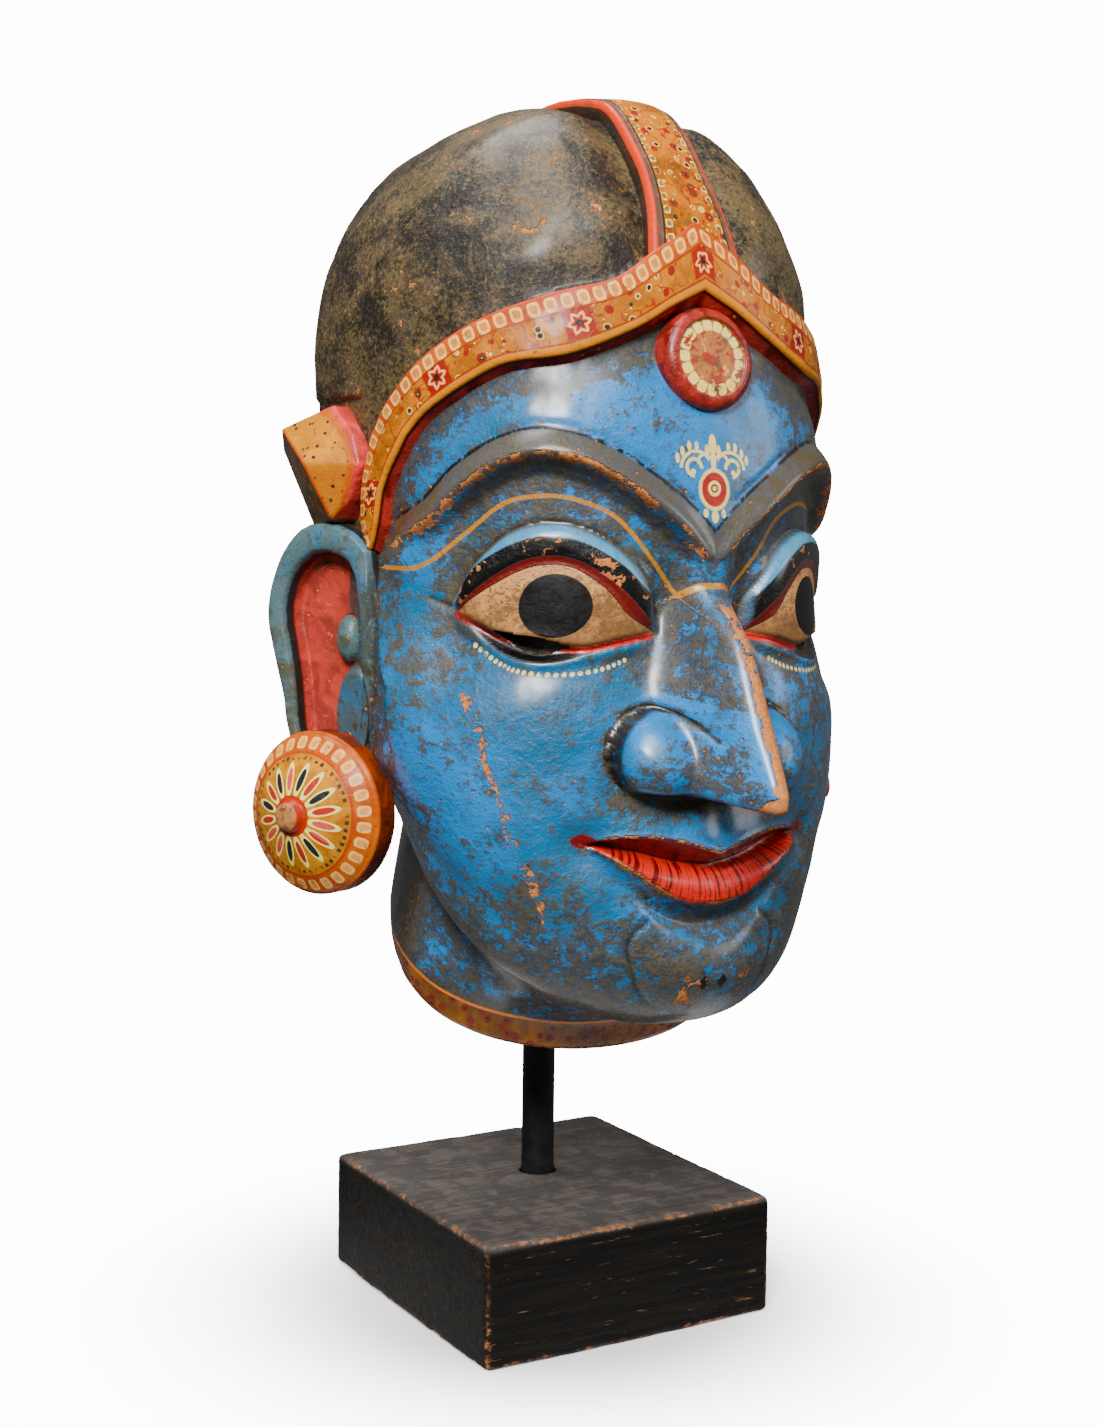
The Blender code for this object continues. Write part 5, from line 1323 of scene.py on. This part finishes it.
def makeBlock(finish):
    # Rows up the sides, over the rounded edges, in across the top to the rod's hole, and down it to its floor
    half = np.array([blockHigh.x - blockLow.x, blockHigh.y - blockLow.y]) / 2 / unit
    tall, corner = blockHigh.z / unit, block["corner"]
    outline = squareRing(half, corner)
    angle = np.arctan2(outline[:, 1], outline[:, 0])
    circle = np.stack([np.cos(angle), np.sin(angle)], 1)
    middle = np.array([0.0, ((rodLow.y + rodHigh.y) / 2 - (blockLow.y + blockHigh.y) / 2) / unit])
    quarter = np.radians(np.linspace(0, 90, 7))
    rows = [(corner + (half[0] - corner) * (1 - s), 0.0) for s in np.linspace(0.02, 0.95, 8)]
    rows += [(corner * (1 - math.sin(q)), corner * (1 - math.cos(q))) for q in quarter]
    rows += [(0.0, z) for z in np.linspace(corner, tall - corner, 34)[1:-1]]
    rows += [(corner * (1 - math.cos(q)), tall - corner * (1 - math.sin(q))) for q in quarter]
    grids = []
    for inset, z in rows:
        size = (half - inset) / half
        grids.append(np.column_stack([outline * size, np.full(len(outline), z)]))
    rim = middle + circle * (block["holeRadius"] + block["lip"])
    edge = grids[-1][:, :2]
    for s in np.linspace(0, 1, 36)[1:]:
        grids.append(np.column_stack([edge * (1 - s) + rim * s, np.full(len(outline), tall)]))
    hole = [(block["holeRadius"], tall - block["lip"])]
    hole += [(block["holeRadius"], tall - z) for z in np.linspace(4, block["holeDepth"] - 0.3, 6)]
    hole += [(0.4, tall - block["holeDepth"] + 0.3)]
    grids += [np.column_stack([middle + circle * r, np.full(len(outline), z)]) for r, z in hole]
    spots = np.array(grids)
    x, y, z = np.moveaxis(spots, -1, 0)
    gaps = np.sort(np.stack([half[0] - np.abs(x), half[1] - np.abs(y), np.minimum(z, tall - z)]), axis=0)
    edgeGap = gaps[0] + gaps[1]
    away = np.hypot(x - middle[0], y - middle[1])
    nearEdge = (1 - ease(edgeGap, 0.5, 4.5)) * ease(away, 16, 26)
    dents = block["dent"] * np.clip(roughness3(spots, 19, 51), 0, 1)
    dents = dents + block["chip"] * np.clip(roughness3(spots, 6.5, 52) - 0.25, 0, 1) * nearEdge
    grain = 0.14 * roughness3(spots * (0.12, 1, 1), 2.2, 53) + 0.12
    towards = np.stack([x / half[0], y / half[1], (z - tall / 2) / (tall / 2)], -1)
    towards = np.sign(towards) * np.abs(towards) ** 6
    towards = towards / np.maximum(np.linalg.norm(towards, axis=-1, keepdims=True), 0.6)
    deep = ease(tall - z, 1, 3) * (1 - ease(away, 12, 20))
    inside = ((dents + grain) * (1 - deep) * ease(away, block["holeRadius"] - 1, 14))[..., None]
    spots = spots - towards * inside
    spots[..., 2] = np.clip(spots[..., 2], 0.0, tall)
    centre = np.array([(blockLow.x + blockHigh.x) / 2, (blockLow.y + blockHigh.y) / 2, 0.0])
    faces = tubeFaces(len(spots), len(outline))
    values = {"edgeGap": edgeGap, "topShare": ease(z, tall - 3.0, tall - 0.6), "holeGap": away}
    thing = makePiece("stand_block", spots * unit + centre, faces, finish, values)
    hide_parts("base_block")
    return thing


def rodFinish():
    f = Finish("matte_black_steel", Coat_Weight=0.0, Specular_IOR_Level=0.2)
    small, fine = f.noise(5, 3, 0.6), f.noise(0.7, 2, 0.6)
    colour = f.mix(small.ramp(0.35, 0.7), shade(30, 30, 31), shade(38, 38, 39))
    scuff = f.noise(2.2, 3, 0.7, 0.0, f.stretched(1.0, 1.0, 0.12)).ramp(0.70, 0.76)
    colour = f.mix(scuff * 0.35, colour, shade(92, 92, 92))
    return f.finish(colour, 0.40 + small * 0.22, fine, 0.00008)


def blockFinish():
    # Black stain over pale wood: grain along x, rubbed edges, and a lighter browner top that is partly worn
    # stain and partly painted light on the upward face
    f = Finish("stained_block", Coat_Weight=0.0, Specular_IOR_Level=0.12)
    edge, top, away = f.value("edgeGap"), f.value("topShare"), f.value("holeGap")
    long = f.noise(2.6, 5, 0.7, 0.15, f.stretched(0.05, 1.0, 1.0))
    thread = f.noise(1.1, 3, 0.7, 0.0, f.stretched(0.07, 1.0, 1.0))
    middle, small = f.noise(11, 4, 0.65, 0.5), f.noise(3.2, 3, 0.65)
    stain = f.mix(long.ramp(0.40, 0.62), shade(12, 11, 11), shade(30, 27, 24))
    # The top's lighter colours are partly painted light: the face that looks up is painted as if lit
    upper = f.mix(middle.ramp(0.42, 0.62), shade(84, 78, 74), shade(106, 98, 92))
    upper = f.mix(long.ramp(0.48, 0.64) * 0.5, upper, shade(62, 56, 52))
    stain = f.mix(top * 0.92, stain, upper)
    rubbed = (edge + (small - 0.5) * 4.5 + (long - 0.5) * 4.0).ramp(2.1, 0.7)
    rubbed = rubbed * (middle * 0.8 + small * 0.5).ramp(0.55, 0.72)
    flecks = thread.ramp(0.645, 0.70) * middle.ramp(0.42, 0.56) * (1.0 - top * 0.3)
    scrapes = f.noise(5, 4, 0.75, 0.7, f.stretched(0.25, 1.0, 1.0)).ramp(0.665, 0.70)
    wear = rubbed.most(flecks * 0.85).most(scrapes * top * away.ramp(70, 20) * 0.8)
    wood = f.mix(thread.ramp(0.4, 0.7), shade(200, 146, 96), shade(150, 104, 64))
    colour = f.mix(wear, stain, wood)
    # The rod's hole and its lip near-black: painted shade in the recess over the black stain
    colour = f.mix(away.ramp(8.6, 7.6), colour, shade(12, 11, 11))
    height = long + thread * 0.4 - wear * 0.5
    return f.finish(colour, 0.62 + small * 0.16 - top * 0.06, height, 0.0006)


# The camera and the studio

view = dict(
    place=(-0.42434, -0.71609, 0.31274), turn=30.59, pitch=4.41, roll=0.75, focal=1972.46, tall=1427,
    sensor=36.0)


def lookAlong(direction):
    return Vector(direction).to_track_quat("-Z", "Y").to_matrix().to_4x4()


def makeCamera():
    # The photograph's view: from the mask's right front, slightly above its middle
    cam = bpy.data.cameras.new("view")
    thing = addObject("view", cam)
    cam.sensor_fit, cam.sensor_height, cam.sensor_width = "VERTICAL", view["sensor"], view["sensor"]
    cam.lens = view["sensor"] * view["focal"] / view["tall"]
    cam.clip_start, cam.clip_end = 0.05, 20
    turn, pitch = math.radians(view["turn"]), math.radians(view["pitch"])
    level = math.cos(pitch)
    thing.matrix_world = lookAlong((math.sin(turn) * level, math.cos(turn) * level, -math.sin(pitch)))
    thing.rotation_euler.rotate_axis("Z", math.radians(view["roll"]))
    thing.location = view["place"]
    bpy.context.scene.camera = thing


studio = dict(
    floorSize=1.7, floorFade=(0.07, 0.22), seen=14.0, lit=0.14,
    sun=dict(aim=(0.55, 0.85, -1.25), strength=2.5, angle=22.0),
    lamps=[("key", (-1.1, -1.25, 1.35), (0, -0.05, 0.3), 0.5, 52),
           ("fill", (1.5, -1.1, 0.9), (0, 0, 0.3), 1.0, 11),
           ("top", (-0.2, 0.3, 1.8), (0, 0, 0.35), 0.8, 24)])


def makeStudio():
    # A pale floor that fades into a paler backdrop, a soft sun, and three lamps
    mesh = bpy.data.meshes.new("floor")
    corners = np.array([(-1, -1, 0), (1, -1, 0), (1, 1, 0), (-1, 1, 0)]) * studio["floorSize"]
    mesh.from_pydata(corners.tolist(), [], [(0, 1, 2, 3)])
    f = Finish("floor", Roughness=0.9, Specular_IOR_Level=0.1)
    f.shader.inputs["Base Color"].default_value = (0.93, 0.93, 0.93, 1)
    away = f.node("ShaderNodeVectorMath", {"operation": "LENGTH"}, {0: f.place}, "Value")
    f.tree.links.new(away.ramp(*studio["floorFade"][::-1]).socket, f.shader.inputs["Alpha"])
    mesh.materials.append(f.material)
    addObject("floor", mesh)
    world = bpy.data.worlds.new("studio")
    world.use_nodes = True
    tree = world.node_tree
    tree.nodes["Background"].inputs["Color"].default_value = (1, 1, 1, 1)
    ray = tree.nodes.new("ShaderNodeLightPath")
    level = tree.nodes.new("ShaderNodeMapRange")
    level.inputs["To Min"].default_value, level.inputs["To Max"].default_value = studio["lit"], studio["seen"]
    tree.links.new(ray.outputs["Is Camera Ray"], level.inputs["Value"])
    tree.links.new(level.outputs["Result"], tree.nodes["Background"].inputs["Strength"])
    bpy.context.scene.world = world
    sun = bpy.data.lights.new("sun", "SUN")
    sun.energy, sun.angle = studio["sun"]["strength"], math.radians(studio["sun"]["angle"])
    addObject("sun", sun).matrix_world = lookAlong(studio["sun"]["aim"])
    for name, spot, aim, size, power in studio["lamps"]:
        light = bpy.data.lights.new(name, "AREA")
        light.shape, light.size, light.energy = "DISK", size, power
        lamp = addObject(name, light)
        lamp.matrix_world = lookAlong(Vector(aim) - Vector(spot))
        lamp.location = spot


makeCamera()
makeStudio()
makeHead(headFinish())
print("head done")
makeBand(bandFinish())
makeCrest(crestFinish())
makeMedallion(medallionFinish())
print("headband, crest and medallion done")
earPaint, ornamentPaint, studPaint = earFinish(), ornamentFinish(), studFinish()
for side, label in ((1, "left"), (-1, "right")):
    makeEar(side, label, earPaint)
    makeOrnament(side, label, ornamentPaint)
    makeStud(side, label, studPaint)
print("ears done")
makeRod(rodFinish())
makeBlock(blockFinish())
print("stand done")
